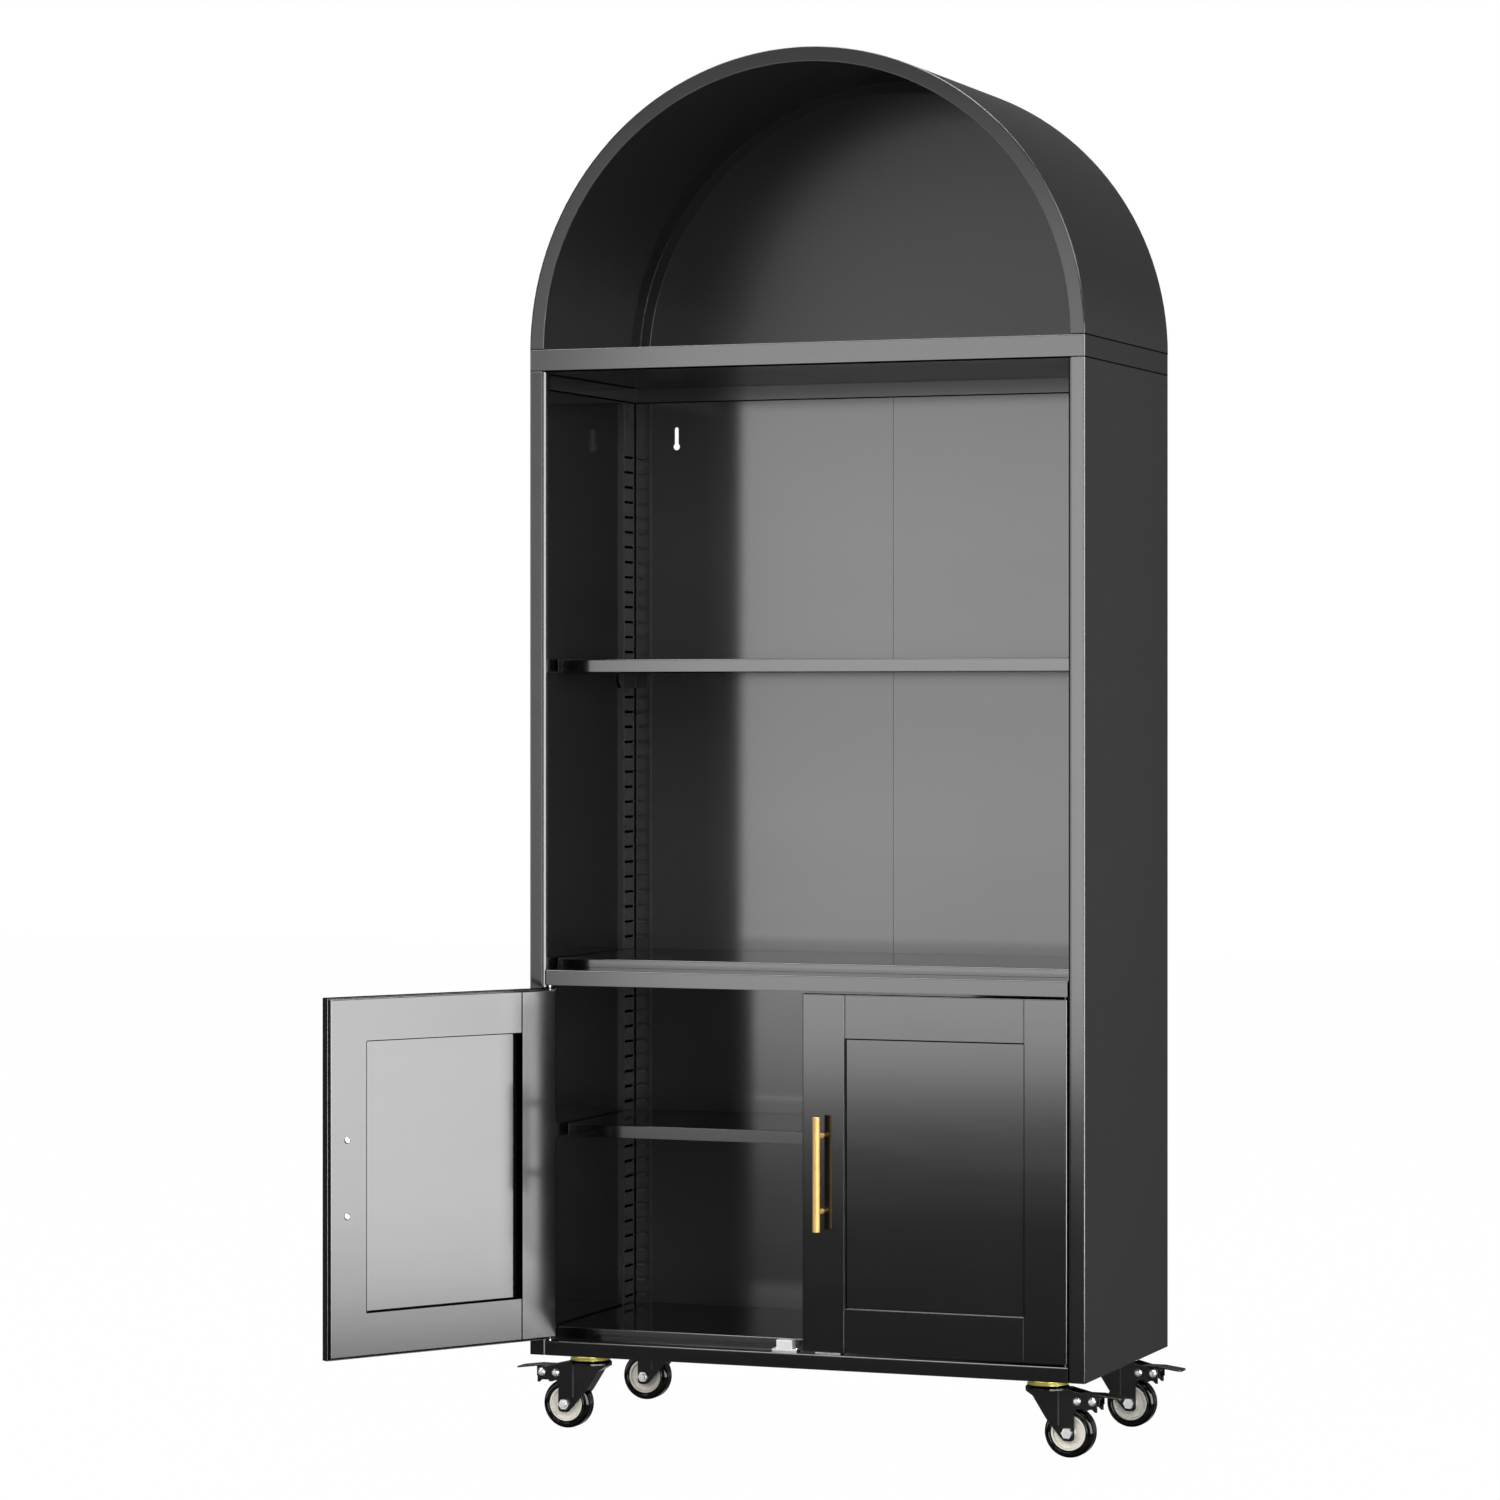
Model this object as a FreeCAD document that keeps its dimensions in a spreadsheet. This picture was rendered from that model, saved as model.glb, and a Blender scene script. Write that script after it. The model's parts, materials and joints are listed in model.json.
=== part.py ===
import FreeCAD, Part
import Sketcher
import os
import re

os.makedirs("parts", exist_ok=True)
doc = FreeCAD.newDocument("arched_bookcase")

# Driving sizes in millimetres, degrees and counts.
# The origin lies on the floor under the middle of the cabinet, the front looks along -Y and Z is up.
DRIVEN = [
    ("cabinet_width", 800, "outside width of the cabinet and of the arch"),
    ("cabinet_depth", 395, "outside depth"),
    ("wall_height", 1357, "height of the side panels"),
    ("board_height", 30, "height of the closed top board"),
    ("skin", 1.0, "folded sheet of panels, trays, shelves and doors"),
    ("rack_skin", 1.2, "folded sheet of the slotted uprights"),
    ("seat_gap", 0.3, "room between pieces laid loosely beside each other"),
    ("running_gap", 0.05, "room round a pin in its bore"),
    ("overrun", 2.0, "how far every cut starts outside the metal"),
    ("bend", 1.6, "outside radius of an ordinary fold"),
    ("stile_width", 24, "front face of a side panel"),
    ("stile_return", 15, "depth of the rolled inner edge of that face"),
    ("stile_round", 6, "outside radius of the rolled inner edge"),
    ("rear_flange", 20, "rear flange of a side panel"),
    ("arch_front_flange", 20.5, "front flange of the arch band"),
    ("arch_front_lip", 6, "depth of the lip turned back from that flange"),
    ("arch_rear_flange", 17, "rear flange of the arch band"),
    ("board_lip", 12, "lips under the top board"),
    ("board_plate_rim", 6, "upturned rim of the plate under the top board"),
    ("rim_height", 22, "strip hanging under the top board inside the walls"),
    ("back_depth", 18.5, "depth of the folded rear panels"),
    ("keyhole_inset", 67, "keyhole from the outside of the side panel"),
    ("keyhole_drop", 90.6, "lowest point of a keyhole below the top of the walls"),
    ("keyhole_height", 33.2, "whole height of a keyhole"),
    ("keyhole_head_radius", 5, "round part that lets the screw head pass"),
    ("keyhole_neck_width", 6, "narrow part that holds the screw neck"),
    ("rack_side_leg", 43, "leg of an upright along the side wall"),
    ("rack_rear_leg", 26, "leg of a rear upright that faces the front"),
    ("rack_front_leg", 22, "leg of a front upright behind the stile"),
    ("slot_height", 3.5, "height of every slot"),
    ("slot_pitch", 21.7, "distance from slot to slot"),
    ("slot_first", 38.8, "lowest slot's lower edge above the cabinet's lower edge"),
    ("slot_head_room", 95, "plain metal above the highest slot"),
    ("slot_side_length", 33, "slots in the leg along the wall"),
    ("slot_side_margin", 3, "metal beside a wall-leg slot at the leg's free edge"),
    ("slot_face_length", 12.8, "slots in the leg that faces the front"),
    ("slot_face_margin", 9.0, "metal beside a face-leg slot at the leg's free edge"),
    ("mid_tray_level", 510.5, "lower edge of the tray above the cupboard"),
    ("mid_tray_height", 21, "front height of that tray"),
    ("base_tray_height", 20.3, "front height of the tray that carries the casters"),
    ("tray_lip", 15, "lip turned back under a tray's front"),
    ("shelf_side_room", 6, "room between a shelf and the side wall"),
    ("shelf_setback", 80, "front of the cabinet to the front of a wide shelf"),
    ("inner_setback", 115, "front of the cabinet to the front of the inner shelf"),
    ("shelf_lip", 12, "lip turned back under a shelf's front and rear"),
    ("shelf_rib_width", 60, "stiffening channel under a shelf"),
    ("shelf_rib_share", 0.5, "height of that channel as a share of the shelf's height"),
    ("upper_slot", 41, "number of slots below the one that carries the shelf in the open bay"),
    ("upper_shelf_height", 17.6, "height of that shelf"),
    ("middle_shelf_height", 12, "height of the shelf lying on the tray above the cupboard"),
    ("inner_slot", 11, "number of slots below the one that carries the shelf in the cupboard"),
    ("inner_shelf_height", 17.6, "height of that shelf"),
    ("floor_shelf_height", 9, "height of the shelf lying on the lower tray"),
    ("clip_side_leg", 64, "clip leg along the side wall"),
    ("clip_face_leg", 20, "clip leg along the upright's face"),
    ("clip_height", 21, "height of a clip"),
    ("clip_skin", 1.5, "sheet of a clip"),
    ("clip_seat", 14, "width of the clip's seat under the shelf"),
    ("clip_chamfer", 8, "cut corner of a clip"),
    ("clip_rise", 14.5, "top of a clip above the lower edge of the slot that holds it"),
    ("tab_room", 0.3, "room round a clip's tab in its slot"),
    ("door_side_gap", 1.2, "door edge to stile"),
    ("door_mid_gap", 2.6, "door edge to door edge"),
    ("door_foot_gap", 3.2, "door to the lower tray"),
    ("door_head_gap", 3.5, "door to the tray above"),
    ("door_set_in", 1.0, "door face behind the front of the cabinet"),
    ("door_thickness", 17, "whole thickness of a door"),
    ("door_edge_depth", 13, "depth of the outer skin's edge"),
    ("door_groove", 1.5, "groove between the outer skin's edge and the inner frame"),
    ("door_rail", 60, "width of the frame round the sunk field"),
    ("door_field_sink", 5, "how far the field lies behind the door's face"),
    ("door_open_angle", 121, "opening of the left door at rest"),
    ("seam_width", 0.8, "pressed seam between a door's stile and its rails"),
    ("seam_depth", 0.4, "depth of that seam"),
    ("pin_radius", 1.6, "hinge pin"),
    ("pin_inset", 3.2, "hinge pin's axis from the door's edge and from its face"),
    ("pin_reach", 5, "how far a pin goes into the cabinet"),
    ("pin_collar_radius", 1.9, "collar inside the door"),
    ("pin_collar_height", 2, "height of that collar"),
    ("bar_radius", 5, "handle bar"),
    ("bar_length", 155, "handle bar"),
    ("bar_inset", 28.5, "handle's axis from the door's free edge"),
    ("bar_standoff", 23, "handle's axis in front of the door"),
    ("bar_tip", 1.2, "rounding at the ends of the bar"),
    ("post_pitch", 102, "distance between the handle posts"),
    ("post_radius", 3.5, "handle post"),
    ("post_bore_depth", 10, "threaded hole in a post"),
    ("post_bore_spare", 1.6, "hole left past the screw's end"),
    ("screw_radius", 2, "handle screw"),
    ("screw_room", 0.4, "room round a handle screw in the sheet"),
    ("screw_head_radius", 4.4, "head of a handle screw"),
    ("screw_head_height", 2.2, "head of a handle screw"),
    ("catch_x", 31.5, "catch off the middle"),
    ("catch_width", 23.4, "plastic block of a catch"),
    ("catch_depth", 15, "plastic block of a catch"),
    ("catch_height", 12, "plastic block of a catch"),
    ("catch_round", 1.2, "rounding of the plastic block"),
    ("catch_foot_width", 36, "metal foot under the block"),
    ("catch_foot_height", 2.6, "metal foot under the block"),
    ("catch_screw_radius", 2.4, "screw beside the block"),
    ("catch_screw_edge", 3.2, "that screw's axis from the end of the foot"),
    ("catch_screw_height", 1.2, "screw beside the block"),
    ("kingpin_side_inset", 68, "caster's swivel axis from the side of the cabinet"),
    ("kingpin_end_inset", 53.5, "caster's swivel axis from the front or rear of the cabinet"),
    ("caster_turn", 180, "how far the left casters stand turned against the right ones"),
    ("trail", 32, "wheel axle behind the swivel axis"),
    ("wheel_radius", 34, "tyre"),
    ("tyre_width", 24, "tyre"),
    ("tyre_shoulder", 5, "rounding of the tyre's edges"),
    ("centre_radius", 24, "wheel centre where the tyre sits on it"),
    ("centre_dish", 2.5, "how far the web lies inside the wheel's side"),
    ("centre_hub_radius", 9, "thick middle of the wheel centre"),
    ("fork_skin", 2.5, "sheet of the fork"),
    ("fork_gap", 27, "clear width between the fork's legs"),
    ("crown_room", 22, "top of the tyre to the underside of the fork's crown"),
    ("nose_top", 27, "fork's nose before the swivel axis, at the crown"),
    ("nose_lip", 5, "upright edge of the nose under the crown"),
    ("nose_break", 17, "nose before the swivel axis where its slope starts"),
    ("nose_break_drop", 11.5, "how far that break lies below the top of the fork"),
    ("nose_room", 2.4, "nose's foot outside the tyre"),
    ("nose_angle", 31.5, "nose's foot seen from the axle, above the level"),
    ("nose_half", 13.5, "half the outside width at the nose"),
    ("leg_crease", 12.5, "fold in a leg before the axle"),
    ("leg_crease_drop", 3.5, "how far below the axle that fold meets the leg's edge"),
    ("leg_foot", 11, "leg below the axle"),
    ("leg_foot_front", 5, "leg's foot before the axle"),
    ("leg_rear", 9.5, "leg behind the axle"),
    ("arm_drop", 26, "underside of the brake arms below the top of the fork"),
    ("arm_rise", 3.5, "slanted corner under an arm, and the drop of its hook"),
    ("arm_hook", 3.5, "start of the hook behind the outer rivet"),
    ("arm_reach", 41, "end of the arms behind the axle"),
    ("arm_end_drop", 10.5, "top of the arms' ends below the top of the fork"),
    ("dish_radius", 30, "round dish on the crown"),
    ("dish_top_radius", 24, "flat top of the dish"),
    ("race_lift", 6.8, "ball race ring above the fork's crown"),
    ("race_radius", 26, "ball race ring"),
    ("race_height", 7.2, "ball race ring"),
    ("race_round", 2.4, "rounding of the ball race ring"),
    ("plate_length", 95, "caster plate along X"),
    ("plate_width", 62, "caster plate along Y"),
    ("plate_height", 2.5, "caster plate"),
    ("plate_round", 6, "corners of the caster plate"),
    ("plate_lift", 0.5, "caster plate's underside above the cabinet's lower edge"),
    ("bolt_x", 38, "plate bolt off the swivel axis"),
    ("bolt_y", 23, "plate bolt off the swivel axis"),
    ("bolt_radius", 3, "plate bolt"),
    ("bolt_flat_radius", 5.2, "plate bolt's hexagon, corner to middle"),
    ("bolt_head_height", 3.6, "plate bolt's head"),
    ("kingpin_radius", 5, "swivel pin"),
    ("kingpin_head_radius", 8, "swivel pin's riveted head under the crown"),
    ("kingpin_head_height", 3, "swivel pin's riveted head under the crown"),
    ("axle_radius", 4, "wheel axle"),
    ("hex_radius", 7.6, "axle's hexagon, corner to middle"),
    ("hex_height", 5, "axle's head and nut"),
    ("thread_reach", 3, "axle's thread past the nut"),
    ("rivet_radius", 2.6, "brake rivet's shank"),
    ("rivet_head_radius", 5.5, "brake rivet's domed head"),
    ("rivet_head_height", 3.6, "brake rivet's domed head"),
    ("rivet_drop", 15.5, "brake rivets below the top of the fork"),
    ("rivet_near", 13.4, "inner brake rivet behind the axle"),
    ("rivet_far", 34.4, "outer brake rivet behind the axle"),
    ("brake_gap", 1.0, "brake lever's sides to the fork's legs"),
    ("brake_skin", 2.0, "sheet of the brake lever"),
    ("lever_front", 6.4, "lever before its pivot rivet"),
    ("lever_drop", 6, "lever's cheeks below the rivets"),
    ("lever_rise", 9.5, "lever's cheeks above the rivets"),
    ("lever_rear", 9, "lever's cheeks behind the outer rivet"),
    ("lever_slot_width", 6.4, "opening round the outer rivet"),
    ("lever_slot_top", 5.8, "that opening above the rivets"),
    ("shoe_front", 7, "brake shoe behind the pivot rivet"),
    ("shoe_length", 5, "brake shoe along X"),
    ("shoe_drop", 13.3, "brake shoe's foot below the pivot rivet"),
    ("pedal_gap", 1.8, "pedal behind the arms' ends"),
    ("pedal_length", 31, "brake pedal along X"),
    ("pedal_fall", 4, "how far the pedal's tip drops"),
    ("pedal_width", 28, "brake pedal along Y"),
    ("pedal_round", 4, "corners of the pedal"),
    ("channel_width", 108, "channel between the lower tray and the caster plates"),
    ("channel_skin", 1.5, "sheet of that channel"),
    ("channel_end", 24, "channel's ends inside the cabinet's front and rear"),
]

# Sizes that follow from the ones above.
DERIVED = [
    ("half_width", "cabinet_width / 2"),
    ("half_depth", "cabinet_depth / 2"),
    ("crown_underside", "2 * wheel_radius + crown_room"),
    ("fork_top", "crown_underside + fork_skin"),
    ("race_level", "fork_top + race_lift"),
    ("plate_level", "race_level + race_height"),
    ("deck_height", "plate_level - plate_lift"),
    ("rivet_level", "fork_top - rivet_drop"),
    ("arm_level", "fork_top - arm_drop"),
    ("arm_end_level", "fork_top - arm_end_drop"),
    ("nose_break_level", "fork_top - nose_break_drop"),
    ("nose_foot", "trail - (wheel_radius + nose_room) * cos(nose_angle)"),
    ("nose_foot_level", "wheel_radius + (wheel_radius + nose_room) * sin(nose_angle)"),
    ("leg_crease_level", "wheel_radius - leg_crease_drop"),
    ("kingpin_x", "half_width - kingpin_side_inset"),
    ("kingpin_y", "half_depth - kingpin_end_inset"),
    ("keyhole_x", "half_width - keyhole_inset"),
    ("keyhole_bottom", "wall_height - keyhole_drop"),
    ("slot_count", "floor((wall_height - slot_first - slot_head_room) / slot_pitch) + 1"),
    ("upper_shelf_level", "slot_first + upper_slot * slot_pitch + clip_rise"),
    ("inner_shelf_level", "slot_first + inner_slot * slot_pitch + clip_rise"),
    ("slot_from_corner", "rack_side_leg - slot_side_margin - slot_side_length - rack_skin"),
    ("wall_inside", "half_width - skin"),
    ("rack_inside", "wall_inside - rack_skin"),
    ("stile_inside", "half_width - stile_width"),
    ("board_level", "deck_height + wall_height"),
    ("arch_level", "board_level + board_height"),
    ("back_face", "half_depth - skin - back_depth"),
    ("rack_rear_face", "back_face - rack_skin"),
    ("rack_front_face", "half_depth - stile_return - rack_skin"),
    ("tray_notch", "rack_front_face - seat_gap"),
    ("tray_neck", "stile_inside - seat_gap"),
    ("tray_rear", "rack_rear_face"),
    ("shelf_half", "wall_inside - shelf_side_room"),
    ("shelf_rear", "rack_rear_face - seat_gap"),
    ("mid_tray_top", "mid_tray_level + mid_tray_height"),
    ("rack_span", "slot_pitch * (slot_count - 1)"),
    ("door_width", "(2 * stile_inside - 2 * door_side_gap - door_mid_gap) / 2"),
    ("door_height", "mid_tray_level - base_tray_height - door_foot_gap - door_head_gap"),
    ("door_level", "deck_height + base_tray_height + door_foot_gap"),
    ("pivot_x", "stile_inside - door_side_gap - pin_inset"),
    ("pivot_y", "half_depth - door_set_in - pin_inset"),
    ("door_edge", "door_width - pin_inset"),
    ("door_inner_face", "door_thickness - pin_inset"),
    ("field_rear", "door_field_sink + skin - pin_inset"),
    ("bar_x", "door_edge - bar_inset"),
    ("bar_y", "bar_standoff + pin_inset"),
    ("leg_half", "fork_gap / 2 + fork_skin"),
    ("channel_level", "plate_level + plate_height"),
    ("base_tray_underside", "deck_height + base_tray_height - skin"),
]

sheet = doc.addObject("Spreadsheet::Sheet", "sizes")
row = 0
for name, number, note in DRIVEN:
    row += 1
    sheet.set("A%d" % row, name)
    sheet.set("B%d" % row, str(number))
    sheet.set("C%d" % row, note)
    sheet.setAlias("B%d" % row, name)
for name, rule in DERIVED:
    row += 1
    sheet.set("A%d" % row, name)
    sheet.set("B%d" % row, "=" + rule)
    sheet.setAlias("B%d" % row, name)
doc.recompute()

NAMES = {entry[0] for entry in DRIVEN} | {entry[0] for entry in DERIVED}
AXES = {"x": 0, "y": 1, "z": 2}
HALF_TURN = 180
FULL_TURN = 360
NOTHING = 1e-9
NEAR = 1e-4


def full(rule):
    """A rule in plain names, with every size led back to the sheet."""
    def led_back(found):
        word = found.group(0)
        return "sizes." + word if word in NAMES else word
    return re.sub(r"[A-Za-z_]\w*", led_back, rule)


def value(rule):
    """The number that a rule stands for now."""
    return float(sheet.evalExpression(full(rule)))


def bind(thing, prop, rule):
    thing.setExpression(prop, full(rule))


def place(thing, x="0", y="0", z="0", turn=None, axis=(0, 0, 1)):
    """Put a thing where the rules say, turned about one axis by a rule in degrees."""
    turned = FreeCAD.Rotation(FreeCAD.Vector(*axis), value(turn) if turn else 0)
    thing.Placement = FreeCAD.Placement(FreeCAD.Vector(value(x), value(y), value(z)), turned)
    for letter, rule in (("x", x), ("y", y), ("z", z)):
        if rule != "0":
            bind(thing, "Placement.Base." + letter, rule)
    if turn:
        bind(thing, "Placement.Rotation.Angle", turn)
    return thing


def new_body(label):
    body = doc.addObject("PartDesign::Body", label)
    body.Label = label
    return body


def plane_of(body, role):
    return next(item for item in body.Origin.OriginFeatures if item.Role == role)


def new_sketch(body, role, start):
    """A sketch parallel to an origin plane of its body; start is its height along the positive axis."""
    sketch = body.newObject("Sketcher::SketchObject", body.Name + "_sketch")
    sketch.AttachmentSupport = [(plane_of(body, role), "")]
    sketch.MapMode = "FlatFace"
    if start != "0":
        bind(sketch, "AttachmentOffset.Base.z", "-(%s)" % start if role == "XZ_Plane" else start)
    return sketch


def hold(sketch, kind, geo, spot, rule):
    """Keep one coordinate of a point at the rule's distance from the origin."""
    number = value(rule)
    if abs(number) < NOTHING:
        axis = -2 if kind == "DistanceX" else -1
        sketch.addConstraint(Sketcher.Constraint("PointOnObject", geo, spot, axis))
    elif number > 0:
        index = sketch.addConstraint(Sketcher.Constraint(kind, -1, 1, geo, spot, number))
        bind(sketch, "Constraints[%d]" % index, rule)
    else:
        index = sketch.addConstraint(Sketcher.Constraint(kind, geo, spot, -1, 1, -number))
        bind(sketch, "Constraints[%d]" % index, "-(%s)" % rule)


def draw_outline(sketch, points):
    """A closed outline of straight lines whose corners follow their rules."""
    first = sketch.GeometryCount
    spots = [FreeCAD.Vector(value(a), value(b), 0) for a, b in points]
    count = len(points)
    for i in range(count):
        sketch.addGeometry(Part.LineSegment(spots[i], spots[(i + 1) % count]), False)
    for i in range(count):
        sketch.addConstraint(Sketcher.Constraint("Coincident", first + i, 2, first + (i + 1) % count, 1))
    for i, (a, b) in enumerate(points):
        hold(sketch, "DistanceX", first + i, 1, a)
        hold(sketch, "DistanceY", first + i, 1, b)


def draw_circle(sketch, a, b, radius):
    spot = FreeCAD.Vector(value(a), value(b), 0)
    geo = sketch.addGeometry(Part.Circle(spot, FreeCAD.Vector(0, 0, 1), value(radius)), False)
    hold(sketch, "DistanceX", geo, 3, a)
    hold(sketch, "DistanceY", geo, 3, b)
    index = sketch.addConstraint(Sketcher.Constraint("Radius", geo, value(radius)))
    bind(sketch, "Constraints[%d]" % index, radius)


def stretch(body, kind, sketch, role, length, middle=False):
    """Pad or pocket a sketch towards the positive axis, or to both sides of it."""
    feature = body.newObject("PartDesign::" + kind, body.Name + "_" + kind.lower())
    feature.Profile = sketch
    bind(feature, "Length", length)
    if middle:
        feature.Midplane = True
    else:
        along_normal = role != "XZ_Plane"
        feature.Reversed = along_normal if kind == "Pocket" else not along_normal
    body.Tip = feature
    return feature


def add(body, role, points, start, length, middle=False):
    sketch = new_sketch(body, role, start)
    draw_outline(sketch, points)
    return stretch(body, "Pad", sketch, role, length, middle)


def cut(body, role, points, start, length, middle=False):
    sketch = new_sketch(body, role, start)
    draw_outline(sketch, points)
    return stretch(body, "Pocket", sketch, role, length, middle)


def bore(body, role, spots, radius, start, length, middle=False):
    """Round holes of one radius."""
    sketch = new_sketch(body, role, start)
    for a, b in spots:
        draw_circle(sketch, a, b, radius)
    return stretch(body, "Pocket", sketch, role, length, middle)


def boss(body, role, spots, radius, start, length, middle=False):
    """Round studs of one radius."""
    sketch = new_sketch(body, role, start)
    for a, b in spots:
        draw_circle(sketch, a, b, radius)
    return stretch(body, "Pad", sketch, role, length, middle)


def spin(body, role, points, axis_role, angle=FULL_TURN, kind="Revolution"):
    """Turn an outline about an axis of the body."""
    sketch = new_sketch(body, role, "0")
    draw_outline(sketch, points)
    feature = body.newObject("PartDesign::" + kind, body.Name + "_turned")
    feature.Profile = sketch
    feature.ReferenceAxis = (plane_of(body, axis_role), [""])
    feature.Angle = angle
    if angle < FULL_TURN:
        feature.Midplane = True
    body.Tip = feature
    return feature


def box(x0, x1, y0, y1):
    return [(x0, y0), (x1, y0), (x1, y1), (x0, y1)]


def run(body, feature, axis_role, span, count):
    """Repeat a feature in a straight row."""
    row_of = body.newObject("PartDesign::LinearPattern", body.Name + "_row")
    row_of.Originals = [feature]
    row_of.Direction = (plane_of(body, axis_role), [""])
    bind(row_of, "Length", span)
    bind(row_of, "Occurrences", count)
    body.Tip = row_of
    return row_of


def along(axis, **rules):
    """A test for straight edges along an axis that pass through the given coordinates."""
    spots = [(AXES[letter], value(rule)) for letter, rule in rules.items()]

    def fits(edge):
        if not isinstance(edge.Curve, Part.Line) or abs(abs(edge.Curve.Direction[AXES[axis]]) - 1) > NEAR:
            return False
        middle = edge.CenterOfMass
        return all(abs(middle[i] - number) < NEAR for i, number in spots)
    return fits


def ring_at(axis, height, radius):
    """A test for round edges about an axis at a height."""
    level, size = value(height), value(radius)

    def fits(edge):
        if not isinstance(edge.Curve, Part.Circle):
            return False
        same_level = abs(edge.Curve.Center[AXES[axis]] - level) < NEAR
        return same_level and abs(edge.Curve.Radius - size) < NEAR
    return fits


def soften(body, radius, *tests):
    """Round the chosen edges of a body."""
    doc.recompute()
    base = body.Tip
    edges = base.Shape.Edges
    chosen = ["Edge%d" % (i + 1) for i, edge in enumerate(edges) if any(test(edge) for test in tests)]
    if not chosen:
        raise ValueError("no edge chosen on " + body.Label)
    fillet = body.newObject("PartDesign::Fillet", body.Name + "_fillet")
    fillet.Base = (base, chosen)
    bind(fillet, "Radius", radius)
    body.Tip = fillet
    return fillet


def mirror(label, source, normal):
    """The mirror image of a piece through a plane at the origin."""
    twin = doc.addObject("Part::Mirroring", label)
    twin.Label = label
    twin.Source = source
    twin.Normal = FreeCAD.Vector(*normal)
    return twin


def group(label, members):
    bundle = doc.addObject("Part::Compound", label)
    bundle.Label = label
    bundle.Links = members
    return bundle


pieces = []


def keep(*things):
    pieces.extend(things)


# Arch: a channel bent to a half circle, front flange with a turned lip, web and rear flange.
arch_band = new_body("arch_band")
spin(arch_band, "YZ_Plane", [
    ("-half_depth", "half_width - arch_front_flange"),
    ("-half_depth", "half_width"),
    ("half_depth - skin", "half_width"),
    ("half_depth - skin", "half_width - arch_rear_flange"),
    ("half_depth - 2 * skin", "half_width - arch_rear_flange"),
    ("half_depth - 2 * skin", "half_width - skin"),
    ("-half_depth + skin", "half_width - skin"),
    ("-half_depth + skin", "half_width - arch_front_flange + skin"),
    ("-half_depth + arch_front_lip", "half_width - arch_front_flange + skin"),
    ("-half_depth + arch_front_lip", "half_width - arch_front_flange"),
], "Y_Axis", HALF_TURN)
soften(arch_band, "bend", ring_at("y", "-half_depth", "half_width"),
       ring_at("y", "half_depth - skin", "half_width"))
place(arch_band, z="arch_level")

# Half-round sheet that closes the arch behind the rear flange.
arch_back = new_body("arch_back_panel")
spin(arch_back, "YZ_Plane", box("half_depth - skin", "half_depth", "0", "half_width"), "Y_Axis", HALF_TURN)
place(arch_back, z="arch_level")
keep(arch_band, arch_back)

# Top board: a closed box folded from one blank, with lips all round its underside.
board = new_body("top_board")
add(board, "XY_Plane", box("-half_width", "half_width", "-half_depth", "half_depth"), "0", "board_height")
soften(board, "bend",
       along("z", x="half_width", y="half_depth"), along("z", x="-half_width", y="half_depth"),
       along("z", x="half_width", y="-half_depth"), along("z", x="-half_width", y="-half_depth"))
cut(board, "XY_Plane", box("-half_width + skin", "half_width - skin",
                           "-half_depth + skin", "half_depth - skin"),
    "skin", "board_height - 2 * skin")
cut(board, "XY_Plane", box("-half_width + board_lip", "half_width - board_lip",
                           "-half_depth + board_lip", "half_depth - board_lip"),
    "-overrun", "overrun + skin")
place(board, z="board_level")

# Plate between the lips, with an upturned rim.
board_plate = new_body("top_board_underside")
add(board_plate, "XY_Plane", box("-half_width + board_lip + seat_gap", "half_width - board_lip - seat_gap",
                                 "-half_depth + board_lip + seat_gap", "half_depth - board_lip - seat_gap"),
    "0", "board_plate_rim")
cut(board_plate, "XY_Plane", box("-half_width + board_lip + seat_gap + skin",
                                 "half_width - board_lip - seat_gap - skin",
                                 "-half_depth + board_lip + seat_gap + skin",
                                 "half_depth - board_lip - seat_gap - skin"),
    "skin", "board_plate_rim + overrun")
place(board_plate, z="board_level")

# Strip that hangs under the board along both walls and the rear, over the heads of the uprights.
rim = new_body("top_rim")
add(rim, "XY_Plane", [
    ("-rack_inside", "-rack_front_face + seat_gap"),
    ("-rack_inside + skin", "-rack_front_face + seat_gap"),
    ("-rack_inside + skin", "rack_rear_face - skin"),
    ("rack_inside - skin", "rack_rear_face - skin"),
    ("rack_inside - skin", "-rack_front_face + seat_gap"),
    ("rack_inside", "-rack_front_face + seat_gap"),
    ("rack_inside", "rack_rear_face"),
    ("-rack_inside", "rack_rear_face"),
], "0", "rim_height")
place(rim, z="board_level - rim_height")
keep(board, board_plate, rim)

# Side panel: one sheet folded into a stile with a rolled edge, the wall and a rear flange.
wall = new_body("side_panel_left")
add(wall, "XY_Plane", [
    ("-half_width", "-half_depth"),
    ("-stile_inside", "-half_depth"),
    ("-stile_inside", "-half_depth + stile_return"),
    ("-stile_inside - skin", "-half_depth + stile_return"),
    ("-stile_inside - skin", "-half_depth + skin"),
    ("-half_width + skin", "-half_depth + skin"),
    ("-half_width + skin", "half_depth - skin"),
    ("-half_width + rear_flange", "half_depth - skin"),
    ("-half_width + rear_flange", "half_depth"),
    ("-half_width", "half_depth"),
], "0", "wall_height")
soften(wall, "stile_round - skin", along("z", x="-stile_inside - skin", y="-half_depth + skin"))
soften(wall, "stile_round", along("z", x="-stile_inside", y="-half_depth"))
soften(wall, "bend - skin", along("z", x="-half_width + skin", y="-half_depth + skin"))
soften(wall, "bend", along("z", x="-half_width", y="-half_depth"),
       along("z", x="-half_width", y="half_depth"))
place(wall, z="deck_height")
wall_right = mirror("side_panel_right", wall, (1, 0, 0))
keep(wall, wall_right)

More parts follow.
